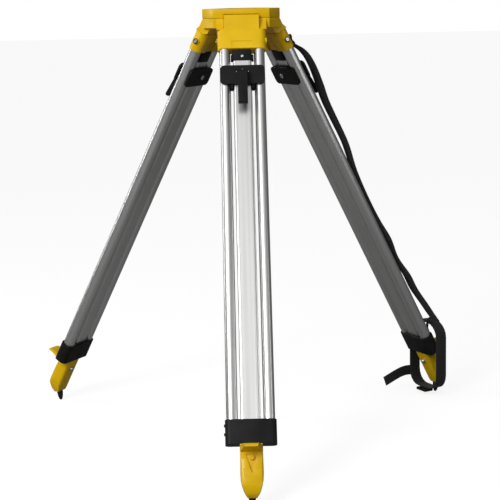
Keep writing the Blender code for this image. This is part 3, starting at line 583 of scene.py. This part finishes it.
# %% Socket-head screw
def socket_screw(radius, height, shank, length, recess=0.55):
    """A screw about Z. Its recess is a share of the head's flat top."""
    flat_top = radius * 0.86
    profile = [(0, height), (flat_top, height), (radius, height * 0.72), (radius, 0), (shank, 0)]
    profile += [(shank, -length + shank * 0.4), (shank * 0.6, -length), (0, -length)]
    bm = turned(profile, 24)
    middle = [v for v in bm.verts if abs(v.co.z - height) < 1e-7 and v.co.xy.length < 1e-7]
    bmesh.ops.dissolve_faces(bm, faces=[face for face in bm.faces if middle[0] in face.verts])
    level_faces = [f for f in bm.faces if abs(f.calc_center_median().z - height) < 1e-7]
    cap = max(level_faces, key=lambda f: f.calc_area())
    bmesh.ops.inset_region(bm, faces=[cap], thickness=flat_top * (1 - recess))
    for vertex in cap.verts:
        angle = math.degrees(math.atan2(vertex.co.y, vertex.co.x)) % 60 - 30
        size = flat_top * recess * math.cos(math.radians(30)) / math.cos(math.radians(angle))
        flat = vertex.co.xy.normalized() * size
        vertex.co.x, vertex.co.y = flat.x, flat.y
    moved_out(bm, cap, -height * 0.6)
    bmesh.ops.delete(bm, geom=[cap], context="FACES_ONLY")
    return bm


# %% [markdown]
# The head
#
# Plate, frame and swing arm are castings, so they are refined CAD. The plate's underside is shut by the frame, and
# the only opening one sees into is the centre hole with the screw in it.

# %% Head castings
refined("head_plate", "head", "yellow_paint", HEAD_FRAME, 0.0012)
refined("head_frame", "head", "yellow_paint", HEAD_FRAME, 0.0011)
refined("swing_arm", "arm", "yellow_paint", HEAD_FRAME, 0.0010)
refined("arm_pin", "head", "steel", HEAD_FRAME, 0.0004)
print("head castings refined")

# %% [markdown]
# The centre screw has a 5/8 inch thread with eleven turns to the inch. A thread is one tooth profile swept in a
# helix, which the spin operator does when it is given a rise. Its core is a plain turned rod, a hair inside the
# tooth's root.


# %% Centre screw
THREAD_PITCH = 0.0254 / 11
PLAIN_END = 0.014
THREAD_STEPS = 28


def threaded_stud(low, high, radius, pitch):
    core, collar = radius - 0.61 * pitch, radius * 0.97
    profile = [(0, low), (core, low), (collar, low + 0.0001), (collar, low + PLAIN_END)]
    profile += [(core, low + PLAIN_END + 0.0002), (core, high), (0, high)]
    rod = turned(profile, 40)
    start = low + PLAIN_END + 0.001
    turns = int((high - pitch * 1.3 - start) / pitch)
    tooth = bmesh.new()
    root, foot, crest = core - 0.0002, pitch * 0.49, pitch * 0.08
    section = ((root, -foot), (radius, -crest), (radius, crest), (root, foot))
    ring = [tooth.verts.new((r, 0, start + z)) for r, z in section]
    face = tooth.faces.new(ring)
    bmesh.ops.spin(
        tooth,
        geom=[face],
        cent=(0, 0, 0),
        axis=(0, 0, 1),
        dvec=(0, 0, pitch / THREAD_STEPS),
        angle=math.tau * turns,
        steps=THREAD_STEPS * turns,
        use_merge=False,
    )
    return joined(rod, tooth)


stud_low, stud_high = own_box("centre_screw", HEAD_FRAME)
stud_radius = (stud_high.x - stud_low.x) / 2
piece(
    "centre_screw_threaded",
    threaded_stud(stud_low.z, stud_high.z, stud_radius, THREAD_PITCH),
    "screw",
    "steel",
    HEAD_FRAME,
    ("centre_screw",),
)
print("stud radius", round(stud_radius, 5))

# %% [markdown]
# The knob under the head is turned by hand from below. Real ones have deep finger grooves round the rim and a
# shallow dish underneath. The rim is an outline whose radius follows a rounded wave, extruded and then bevelled.


# %% Screw knob
def hand_knob(low, high, radius, bore):
    lobes, fine, groove = 12, 12, 0.0024
    outline = []
    for step in range(lobes * fine):
        angle = math.tau * step / (lobes * fine)
        wave = abs(math.cos(angle * lobes / 2)) ** 0.6
        reach = radius - groove * (1 - wave)
        outline.append((reach * math.cos(angle), reach * math.sin(angle)))
    bm = extruded(outline, low, high)
    base = min((f for f in bm.faces if len(f.verts) > 20), key=lambda f: f.calc_center_median().z)
    for inwards, upwards in ((0.0045, 0.0025), (0.0030, 0.0010)):
        bmesh.ops.inset_region(bm, faces=[base], thickness=inwards)
        bmesh.ops.translate(bm, vec=(0, 0, upwards), verts=base.verts)
    top = max((f for f in bm.faces if len(f.verts) > 20), key=lambda f: f.calc_center_median().z)
    bmesh.ops.inset_region(bm, faces=[top], thickness=radius - 0.0025 - bore - 0.0015)
    return bm


knob_low, knob_high = own_box("screw_knob", HEAD_FRAME)
piece(
    "screw_knob_grip",
    hand_knob(knob_low.z, knob_high.z, (knob_high.x - knob_low.x) / 2, stud_radius),
    "screw",
    "black_plastic",
    HEAD_FRAME,
    ("screw_knob",),
    bevel=0.0009,
)
print("knob from", round(knob_low.z, 4), "to", round(knob_high.z, 4))

# %% [markdown]
# The legs
#
# All three legs are alike apart from the strap, so each piece is made once per leg in the leg's own frame. The
# outer tubes are drawn with an almost oval section. Their ends sit in the hinge block and the collar, so they are
# simply closed there.


# %% Outer tubes and rails
TUBE_CORNER = 0.0108
RAIL_CORNER, GROOVE_AT, GROOVE_DEPTH = 0.0042, 0.0135, 0.0005


def outer_tube(leg, side):
    node = f"{leg}_outer_tube_{side}"
    place = LEG_FRAME[leg]
    low, high = own_box(node, place)
    middle = ((low.x + high.x) / 2, (low.y + high.y) / 2)
    outline = rounded(high.x - low.x, high.y - low.y, TUBE_CORNER, middle, 12)
    bm = extruded(outline, low.z, high.z)
    piece(node + "_drawn", bm, leg + "_leg", "aluminium", place, (node,), smooth=30)


def rail_outline(low, high):
    """Rounded rectangle with two shallow grooves on its broad faces."""
    middle_y = (low.y + high.y) / 2
    half_x, half_y = (high.x - low.x) / 2, (high.y - low.y) / 2
    points = []

    def round_corner(side_x, side_y, quarter):
        """Seven points round one corner, starting at a number of quarter turns."""
        x, y = side_x * (half_x - RAIL_CORNER), middle_y + side_y * (half_y - RAIL_CORNER)
        for step in range(7):
            angle = math.radians(90) * (quarter + step / 6)
            points.append((x + RAIL_CORNER * math.cos(angle), y + RAIL_CORNER * math.sin(angle)))

    for sign, turn in ((1, 0), (-1, 2)):
        round_corner(sign, sign, turn)
        for spot in (GROOVE_AT, -GROOVE_AT):
            for shift, sunk in ((0.0008, 0), (0.0003, 1), (-0.0003, 1), (-0.0008, 0)):
                points.append((sign * (spot + shift), middle_y + sign * (half_y - sunk * GROOVE_DEPTH)))
        round_corner(-sign, sign, turn + 1)
    return points


def rail(leg):
    node = leg + "_rail"
    place = LEG_FRAME[leg]
    low, high = own_box(node, place)
    bm = extruded(rail_outline(low, high), low.z, high.z)
    ends = [f for f in bm.faces if abs(f.normal.z) > 0.9 or len(f.verts) > 20]
    top = max(ends, key=lambda f: f.calc_center_median().z)
    bmesh.ops.inset_region(bm, faces=[top], thickness=0.0014)
    bmesh.ops.translate(bm, vec=(0, 0, -0.012), verts=top.verts)
    piece(node + "_drawn", bm, leg + "_foot", "aluminium", place, (node,), smooth=30)


for leg in LEGS:
    for side in ("a", "b"):
        outer_tube(leg, side)
    rail(leg)
print("tubes and rails made")

# %% [markdown]
# Hinge blocks, collars and shoes are thick mouldings with soft edges, and the clamp plates and levers are the same
# in plastic. They are refined CAD with the edge radius that each process leaves: about a millimetre on castings,
# and a little less on plastic.

# %% Castings and mouldings of the legs
LEG_CASTINGS = (
    ("hinge_block", "leg", "yellow_paint", 0.0008),
    ("shoe", "foot", "yellow_paint", 0.0009),
    ("collar", "leg", "black_plastic", 0.0012),
    ("clamp_plate", "foot", "black_plastic", 0.0012),
    ("clamp_back_plate", "foot", "black_plastic", 0.0012),
    ("clamp_lever", "lever", "black_plastic", 0.0010),
    ("clamp_bolt", "foot", "steel", 0.0003),
    ("hinge_pin", "leg", "steel", 0.0004),
    ("rail_cap", "foot", "black_plastic", 0.0007),
)
for leg in LEGS:
    for part, rides_on, finish_name, edge in LEG_CASTINGS:
        refined(f"{leg}_{part}", f"{leg}_{rides_on}", finish_name, LEG_FRAME[leg], edge)
print("castings refined")

# %% [markdown]
# The hinge pins are driven in from outside and their holes are filled and painted over. Each filling is a short rod
# on the hinge axis, cut off by the plane of the head's narrow facet, so that it ends flush with the casting.


# %% Fillings over the hinge pins
FACET_OUT, FACET_ANGLE = 0.0626, math.radians(60)


def pin_filling(leg, sign):
    upright = LEG_FRAME[leg].to_3x3().inverted() @ Vector((0, 0, 1))
    outward = Vector((0, upright.z, -upright.y))
    bm = bmesh.new()
    bmesh.ops.create_cone(bm, cap_ends=True, segments=24, radius1=0.00375, radius2=0.00375, depth=0.014)
    place_bmesh(bm, (sign * 0.0625, 0, 0), (sign, 0, 0))
    facing = Vector((sign * math.sin(FACET_ANGLE), 0, 0)) + outward * math.cos(FACET_ANGLE)
    facet = Vector((sign * FACET_OUT, 0, 0))
    whole = bm.verts[:] + bm.edges[:] + bm.faces[:]
    bmesh.ops.bisect_plane(bm, geom=whole, plane_co=facet, plane_no=facing, clear_outer=True)
    bmesh.ops.holes_fill(bm, edges=[edge for edge in bm.edges if edge.is_boundary])
    return bm


for leg in LEGS:
    fillings = joined(pin_filling(leg, 1), pin_filling(leg, -1))
    piece(leg + "_pin_fillings", fillings, "head", "yellow_paint", LEG_FRAME[leg])
print("hinge pins filled over")

# %% [markdown]
# Visible screws get real heads: one on the outside of each tube socket, in a dark ring that paints the shade round
# it, one on the clamp's inner plate whose cross recess is painted shade, dark strips on an uncut head, a small one
# on the rail's cap and one through the shoe. Two small rivets show on the clamp's outer plate and one in its lever.


# %% Screws of a leg
CUP_DEPTH = 0.0022
SHOE_BOLT_HEAD = 0.0050
RIVETS_APART, RIVET_RISE = 0.025, 0.0065
CROSS_SCREW_ASIDE = 0.012
CAM_RADIUS, LEVER_LEAN = 0.0078, math.radians(48)
SHADE_RING = [(0.0047, 0), (0.0062, 0), (0.0062, 0.0009), (0.0058, 0.0012), (0.0047, 0.0004), (0.0047, 0)]
SMALL_RIVET = [(0, 0.0006), (0.0008, 0.00045), (0.0011, 0), (0, 0)]
PLUG = [(0, 0.0007), (0.0038, 0.0007), (0.0044, 0.0003), (0.0044, 0), (0, 0)]
LEVER_RIVET = [(0, 0.0009), (0.0012, 0.0007), (0.0020, 0), (0, 0)]


def cross_screw(radius, height):
    """A low domed head as a steel body, and dark strips in a cross that paint the shade of its recess, which is not
    cut.
    """
    dome = ((0, 1), (0.45, 0.96), (0.8, 0.74), (1, 0.3), (1, 0), (0, 0))
    head = turned([(radius * out, height * up) for out, up in dome], 28)
    shade_strips = []
    for long_x, long_y in ((1, 0.24), (0.24, 1)):
        half_x, half_y = radius * 0.56 * long_x, radius * 0.56 * long_y
        outline = [(-half_x, -half_y), (half_x, -half_y), (half_x, half_y), (-half_x, half_y)]
        shade_strips.append(extruded(outline, height * 0.2, height * 0.93 + 0.00012 * long_x))
    return head, joined(*shade_strips)


def tube_screws(leg, place):
    shade_rings = []
    for side, sign in (("a", 1), ("b", -1)):
        node = f"{leg}_socket_screw_{side}"
        low, high = own_box(node, place)
        middle = (low + high) / 2
        seat = (high.x if sign > 0 else low.x) - sign * CUP_DEPTH
        bm = socket_screw(0.0043, 0.0020, 0.0019, 0.0082, 0.42)
        place_bmesh(bm, (seat, middle.y, middle.z), (sign, 0, 0))
        piece(node + "_head", bm, leg + "_leg", "steel", place, (node,), bevel=0.0002)
        # A dark ring of blackened steel round each head paints the shade round the sunk screw.
        shade_rings.append(place_bmesh(turned(SHADE_RING, 28), (seat, middle.y, middle.z), (sign, 0, 0)))
    piece(leg + "_socket_shade_rings", joined(*shade_rings), leg + "_leg", "dark_steel", place)


def shoe_bolt(leg, place):
    low, high = own_box(leg + "_shoe_bolt", place)
    middle = (low + high) / 2
    bm = socket_screw((high.x - low.x) / 2, SHOE_BOLT_HEAD, 0.0029, high.y - low.y - 0.0055, 0.6)
    place_bmesh(bm, (middle.x, low.y + SHOE_BOLT_HEAD, middle.z), (0, -1, 0))
    piece(leg + "_shoe_bolt_head", bm, leg + "_foot", "steel", place, (leg + "_shoe_bolt",), bevel=0.0003)


def clamp_screws(leg, place):
    foot = leg + "_foot"
    outer_face = own_box(leg + "_clamp_plate", place)[1].y
    back_low, back_high = own_box(leg + "_clamp_back_plate", place)
    middle_z = (back_low.z + back_high.z) / 2
    bright = []
    for x in (-RIVETS_APART / 2, RIVETS_APART / 2):
        at = (x, outer_face - 0.0001, middle_z + RIVET_RISE)
        bright.append(place_bmesh(turned(SMALL_RIVET, 14), at, (0, 1, 0)))
    at = (CROSS_SCREW_ASIDE if leg == "left" else -CROSS_SCREW_ASIDE, back_low.y + 0.0001, middle_z)
    # The cross recess is not cut into the head: dark strips in its shape paint its shade.
    head, shade_strips = cross_screw(0.0058, 0.0020)
    bright.append(place_bmesh(head, at, (0, -1, 0)))
    cap_low, cap_high = own_box(leg + "_rail_cap", place)
    small = socket_screw(0.0030, 0.0013, 0.0012, 0.003, 0.5)
    bright.append(place_bmesh(small, (0, cap_high.y, (cap_low.z + cap_high.z) / 2 + 0.0025), (0, 1, 0)))
    piece(leg + "_clamp_screws", joined(*bright), foot, "steel", place, bevel=0.0002)
    piece(leg + "_clamp_screw_painted_shade", place_bmesh(shade_strips, at, (0, -1, 0)), foot, "dark_steel", place)
    plug = place_bmesh(turned(PLUG, 24), (0, back_low.y, middle_z), (0, -1, 0))
    piece(leg + "_clamp_plug", plug, foot, "black_plastic", place)


def lever_rivet(leg, place):
    low, high = own_box(leg + "_clamp_lever", place)
    lean = Vector((0, math.cos(LEVER_LEAN), math.sin(LEVER_LEAN)))
    top = Vector((0, low.y + CAM_RADIUS, high.z - CAM_RADIUS)) + lean * (CAM_RADIUS - 0.0002)
    piece(leg + "_lever_rivet", place_bmesh(turned(LEVER_RIVET, 16), top, lean), leg + "_lever", "steel", place)


for leg in LEGS:
    for make in (tube_screws, shoe_bolt, clamp_screws, lever_rivet):
        make(leg, LEG_FRAME[leg])
print("screws and rivets made")

# %% [markdown]
# A spike is forged round and ground to a point. A turned profile with a slightly rounded flank gives the forged
# look, and it follows the direction that the CAD spike already has.


# %% Spikes
STEM_RADIUS, SPIKE_RADIUS, TIP_RADIUS = 0.0039, 0.0072, 0.0024
SPIKE_LENGTH = 0.0239
END_DEPTH = 0.004


def middle_of(points):
    return sum(points, Vector()) / len(points)


def spike(leg):
    node = leg + "_spike"
    place = LEG_FRAME[leg]
    back = place.inverted()
    points = [back @ v.co for v in nodes[node].data.vertices]
    tip_z, stem_top = min(p.z for p in points), max(p.z for p in points)
    tip = middle_of([p for p in points if p.z < tip_z + END_DEPTH])
    stem = middle_of([p for p in points if p.z > stem_top - END_DEPTH])
    length = (tip - stem).length
    collar = length - SPIKE_LENGTH
    profile = [(0, 0), (STEM_RADIUS, 0), (STEM_RADIUS, collar), (0.0070, collar), (SPIKE_RADIUS, collar + 0.0012)]
    for share in (0.2, 0.35, 0.5, 0.65, 0.8, 0.92):
        radius = TIP_RADIUS + (SPIKE_RADIUS - TIP_RADIUS) * (1 - share**2.4) ** 0.9
        profile.append((radius, collar + SPIKE_LENGTH * share))
    profile += [(0.0019, length - 0.0003), (0, length)]
    bm = place_bmesh(turned(profile, 28), stem, (tip - stem).normalized())
    piece(node + "_ground", bm, leg + "_foot", "dark_steel", place, (node,), smooth=32)


for leg in LEGS:
    spike(leg)
print("spikes made")

# %% [markdown]
# Webbing
#
# A strap is a flat ribbon. It starts as a row of vertices across its width, and that row is extruded from point to
# point along the route, with the ribbon's own UV map laid down in metres as it goes. A Solidify modifier then gives
# it the real thickness. The route is smoothed with a Catmull-Rom curve, so that a few points make a soft line.


# %% Ribbon helper
ACROSS = 8


def smooth_route(points, steps):
    """Points on a smooth curve through the given ones."""
    points = [Vector(p) for p in points]
    guides = [points[0] * 2 - points[1], *points, points[-1] * 2 - points[-2]]
    route = []
    for p0, p1, p2, p3 in zip(guides, guides[1:], guides[2:], guides[3:]):
        for step in range(steps):
            t = step / steps
            route.append(
                0.5
                * (
                    2 * p1
                    + (p2 - p0) * t
                    + (2 * p0 - 5 * p1 + 4 * p2 - p3) * t * t
                    + (3 * p1 - p0 - 3 * p2 + p3) * t * t * t
                )
            )
    route.append(points[-1])
    return route


def ribbon_rows(route, lengths, width, sideways, closed):
    """The row of points across the strap at each point of its route."""
    rows = []
    for i, point in enumerate(route):
        ahead_point = route[(i + 1) % len(route)] if closed or i + 1 < len(route) else point
        behind_point = route[i - 1] if closed or i > 0 else point
        run = (ahead_point - behind_point).normalized()
        side = sideways(lengths[i] / lengths[-1], run)
        side = (side - run * side.dot(run)).normalized()
        rows.append([point + side * ((k / ACROSS - 0.5) * width) for k in range(ACROSS + 1)])
    return rows


def ribbon(route, width, sideways, closed=False):
    """A flat strap along a route. sideways(share, run) gives its width direction at a share of the length."""
    bm = bmesh.new()
    uv = bm.loops.layers.uv.new("strap")
    lengths = [0.0]
    for a, b in zip(route, route[1:]):
        lengths.append(lengths[-1] + (b - a).length)
    if closed:
        lengths.append(lengths[-1] + (route[0] - route[-1]).length)
    rows = ribbon_rows(route, lengths, width, sideways, closed)
    first = row = [bm.verts.new(spot) for spot in rows[0]]
    edges = [bm.edges.new(pair) for pair in zip(row, row[1:])]
    for index in range(1, len(rows)):
        made = bmesh.ops.extrude_edge_only(bm, edges=edges)["geom"]
        edges = [e for e in made if isinstance(e, bmesh.types.BMEdge)]
        partner = {}
        for vertex in (v for v in made if isinstance(v, bmesh.types.BMVert)):
            for edge in vertex.link_edges:
                if edge.other_vert(vertex) in row:
                    partner[edge.other_vert(vertex)] = vertex
        previous, row = row, [partner[v] for v in row]
        for vertex, spot in zip(row, rows[index]):
            vertex.co = spot
        for loop in (loop for vertex in row for face in vertex.link_faces for loop in face.loops):
            here = loop.vert in row
            k = (row if here else previous).index(loop.vert)
            loop[uv].uv = ((k / ACROSS) * width, lengths[index] if here else lengths[index - 1])
    if closed:
        for k in range(ACROSS):
            face = bm.faces.new((row[k], row[k + 1], first[k + 1], first[k]))
            for loop, spot in zip(face.loops, ((k, 0), (k + 1, 0), (k + 1, 1), (k, 1))):
                loop[uv].uv = (spot[0] / ACROSS * width, lengths[-2] if spot[1] == 0 else lengths[-1])
    return bm


def strap_piece(name, bm, body, place, thickness, stands_for=()):
    obj = piece(name, bm, body, "webbing", place, stands_for, smooth=60)
    modifier = obj.modifiers.new("thickness", "SOLIDIFY")
    modifier.thickness = thickness
    modifier.offset = 0
    return obj


# %% [markdown]
# The carrying strap is screwed to the right leg's hinge block, where its end is folded under and stitched. It runs
# down outside the clamp, slackens over the tubes and stands away again near the foot. Its route is the one that
# the CAD strap holds, in the leg's frame.

# %% Carrying strap
RIGHT = LEG_FRAME["right"]
strap_low, strap_high = own_box("carrying_strap", RIGHT)
STRAP_X = (strap_low.x + strap_high.x) / 2
STRAP_WIDTH = strap_high.x - strap_low.x
face_y = own_box("right_hinge_block", RIGHT)[1].y
lane = own_box("right_clamp_plate", RIGHT)[1].y + 0.0016
collar_top = own_box("right_collar", RIGHT)[1].z


def strap_line(base, *spots):
    """Points in the middle of the strap: each spot is a distance out from a base and a height up the leg."""
    return [(STRAP_X, base + out, up) for out, up in spots]


strap_route = strap_line(face_y, (0.0016, -0.0445), (0.0016, -0.0620)) + strap_line(
    lane,
    (0.0046, -0.0740),
    (0.0148, -0.0900),
    (0.0212, -0.1120),
    (0.0222, -0.1420),
    (0.0188, collar_top * 0.2133),
    (0.0138, collar_top * 0.2648),
    (0.0142, collar_top * 0.3633),
    (0.0122, collar_top * 0.4031),
    (0.0045, collar_top * 0.4629),
    (0.0015, collar_top * 0.5390),
    (0.0024, collar_top * 0.6210),
    (0.0072, collar_top * 0.6890),
    (0.0024, collar_top * 0.7499),
    (0.0107, collar_top * 0.8156),
    (0.0117, collar_top * 0.8648),
    (0.0192, collar_top + 0.0670),
    (0.0252, collar_top + 0.0270),
    (0.0287, collar_top + 0.0080),
)


def lying_flat(share, run):
    """Across the leg, with a slight twist that comes and goes."""
    twist = 0.10 * math.sin(share * 9.0) * min(1.0, share * 6)
    return Vector((math.cos(twist), math.sin(twist), 0))


strap_bm = ribbon(smooth_route(strap_route, 8), STRAP_WIDTH - 0.0004, lying_flat)
strap_piece("carrying_strap_webbing", strap_bm, "right_leg", RIGHT, 0.0018, ("carrying_strap",))
print("strap width", round(STRAP_WIDTH, 4))

# %% [markdown]
# The fold at the strap's upper end is a second, shorter layer with three rows of stitching, and the screw goes
# through both.


# %% Strap's folded end and screw
STITCHES, STITCH_PITCH = 9, 0.00275
STITCH_ROWS = (-0.0665, -0.0640, -0.0475)


def stitch_row(start):
    """A row of short, slightly sunk thread loops across the strap."""
    parts = []
    for index in range(STITCHES):
        bm = bmesh.new()
        bmesh.ops.create_uvsphere(bm, u_segments=8, v_segments=5, radius=1)
        middle = Vector(start) + Vector((STITCH_PITCH * index, 0, 0))
        shape = Matrix.Diagonal((0.0010, 0.0004, 0.0004, 1))
        bmesh.ops.transform(bm, matrix=Matrix.Translation(middle) @ shape, verts=bm.verts)
        parts.append(bm)
    return joined(*parts)


fold_route = strap_line(
    face_y,
    (0.0036, -0.0690),
    (0.0036, -0.0610),
    (0.0036, -0.0500),
    (0.0034, -0.0438),
    (0.0018, -0.0432),
)
fold = ribbon(smooth_route(fold_route, 6), STRAP_WIDTH - 0.0006, lying_flat)
strap_piece("carrying_strap_fold", fold, "right_leg", RIGHT, 0.0016)
stitches = [stitch_row((STRAP_X - 0.0110, face_y + 0.0046, z)) for z in STITCH_ROWS]
piece("carrying_strap_stitches", joined(*stitches), "right_leg", "black_plastic", RIGHT)
low, high = own_box("strap_screw", RIGHT)
screw_at = (low + high) / 2
bm = socket_screw((high.x - low.x) / 2, 0.0024, 0.0024, 0.005, 0.5)
place_bmesh(bm, (screw_at.x, high.y - 0.0020, screw_at.z), (0, 1, 0))
piece("strap_screw_head", bm, "right_leg", "steel", RIGHT, ("strap_screw",), bevel=0.0003)
print("strap end stitched in", len(stitches), "rows")

# %% [markdown]
# The keeper is a narrow loop of tape that ties the strap's lower end to the collar. It stays a loose arch, since
# the strap is slack there.

# %% Strap keeper
low, high = own_box("strap_keeper", RIGHT)
keeper_x = (low.x + high.x) / 2
keeper_route = [
    (keeper_x, low.y + 0.0012, low.z + 0.004),
    (keeper_x, low.y + 0.0022, low.z + 0.016),
    (keeper_x, low.y + 0.0080, high.z - 0.010),
    (keeper_x, low.y + 0.0150, high.z - 0.003),
    (keeper_x, high.y - 0.0020, high.z - 0.002),
]
keeper_bm = ribbon(smooth_route(keeper_route, 6), 0.009, lying_flat)
strap_piece("strap_keeper_tape", keeper_bm, "right_leg", RIGHT, 0.0014, ("strap_keeper",))

# %% [markdown]
# The foot tie is a closed band that hangs round the right shoe. It rides on the foot, so it goes down with the shoe
# when the leg is drawn out. It is a ribbon round a rounded rectangle that hangs upright.

# %% Foot tie
TIE_LENGTH, TIE_CORNER, TIE_SAG = 0.1625, 0.0345, 0.0012
TIE_OUT, TIE_BELOW_COLLAR = 0.0042, 0.0184
tie_up = RIGHT.to_3x3().inverted() @ Vector((0, 0, 1))
tie_across = Vector((0, tie_up.z, -tie_up.y))
tie_down = -tie_up
collar_low, collar_high = own_box("right_collar", RIGHT)
tie_middle = Vector((0, (collar_low.y + collar_high.y) / 2 + TIE_OUT, collar_low.z - TIE_BELOW_COLLAR))
half_wide = own_box("foot_tie_loop", RIGHT)[1].x - 0.0013
tie_route = []
for point in rounded(2 * half_wide, TIE_LENGTH, TIE_CORNER, (0, 0), 5):
    wobble = TIE_SAG * math.sin(point[0] * 90) * math.cos(point[1] * 70)
    tie_route.append(tie_middle + Vector((point[0], 0, 0)) + tie_down * (point[1] - abs(wobble)))


def along_tie(share, run):
    return tie_across


tie_bm = ribbon(tie_route, 0.0292, along_tie, closed=True)
strap_piece("foot_tie_webbing", tie_bm, "right_foot", RIGHT, 0.0019, ("foot_tie_loop",))
print("foot tie hangs from", [round(c, 4) for c in tie_middle])

# %% [markdown]
# The buckle is a moulded block at the loop's lowest point. The webbing's loose tail leaves the loop on its inner
# side, held by a narrow keeper, and reaches in under the tripod.


# %% Buckle and tail
refined("tie_buckle", "right_foot", "black_plastic", RIGHT, 0.0012)
low, high = own_box("tie_tail", RIGHT)
inwards = -tie_across
TAIL_SPOTS = ((-0.0055, 0), (0.014, 0.006), (0.042, 0.004), (0.0885, -0.012))
tail_start = tie_middle + tie_down * 0.056 + Vector(((low.x + high.x) / 2, 0, 0))
tail_route = [tail_start + inwards * run + tie_up * rise for run, rise in TAIL_SPOTS]


def standing(share, run):
    return tie_up


tail_bm = ribbon(smooth_route(tail_route, 8), 0.0238, standing)
strap_piece("tie_tail_webbing", tail_bm, "right_foot", RIGHT, 0.0018, ("tie_tail",))
band = rounded(0.0066, 0.0274, 0.0014, steps=4)
tail_keeper = extruded(band, -0.0035, 0.0035)
upended = Matrix.Rotation(math.radians(90), 3, "X")
leaning = Matrix.Rotation(math.atan2(inwards.z, -inwards.y), 3, "X")
bmesh.ops.rotate(tail_keeper, verts=tail_keeper.verts, matrix=leaning @ upended)
bmesh.ops.translate(tail_keeper, verts=tail_keeper.verts, vec=tail_start + inwards * 0.006 + Vector((0.0006, 0, 0)))
piece("tie_tail_keeper", tail_keeper, "right_foot", "black_plastic", RIGHT, bevel=0.0005)
print("buckle and tail made")
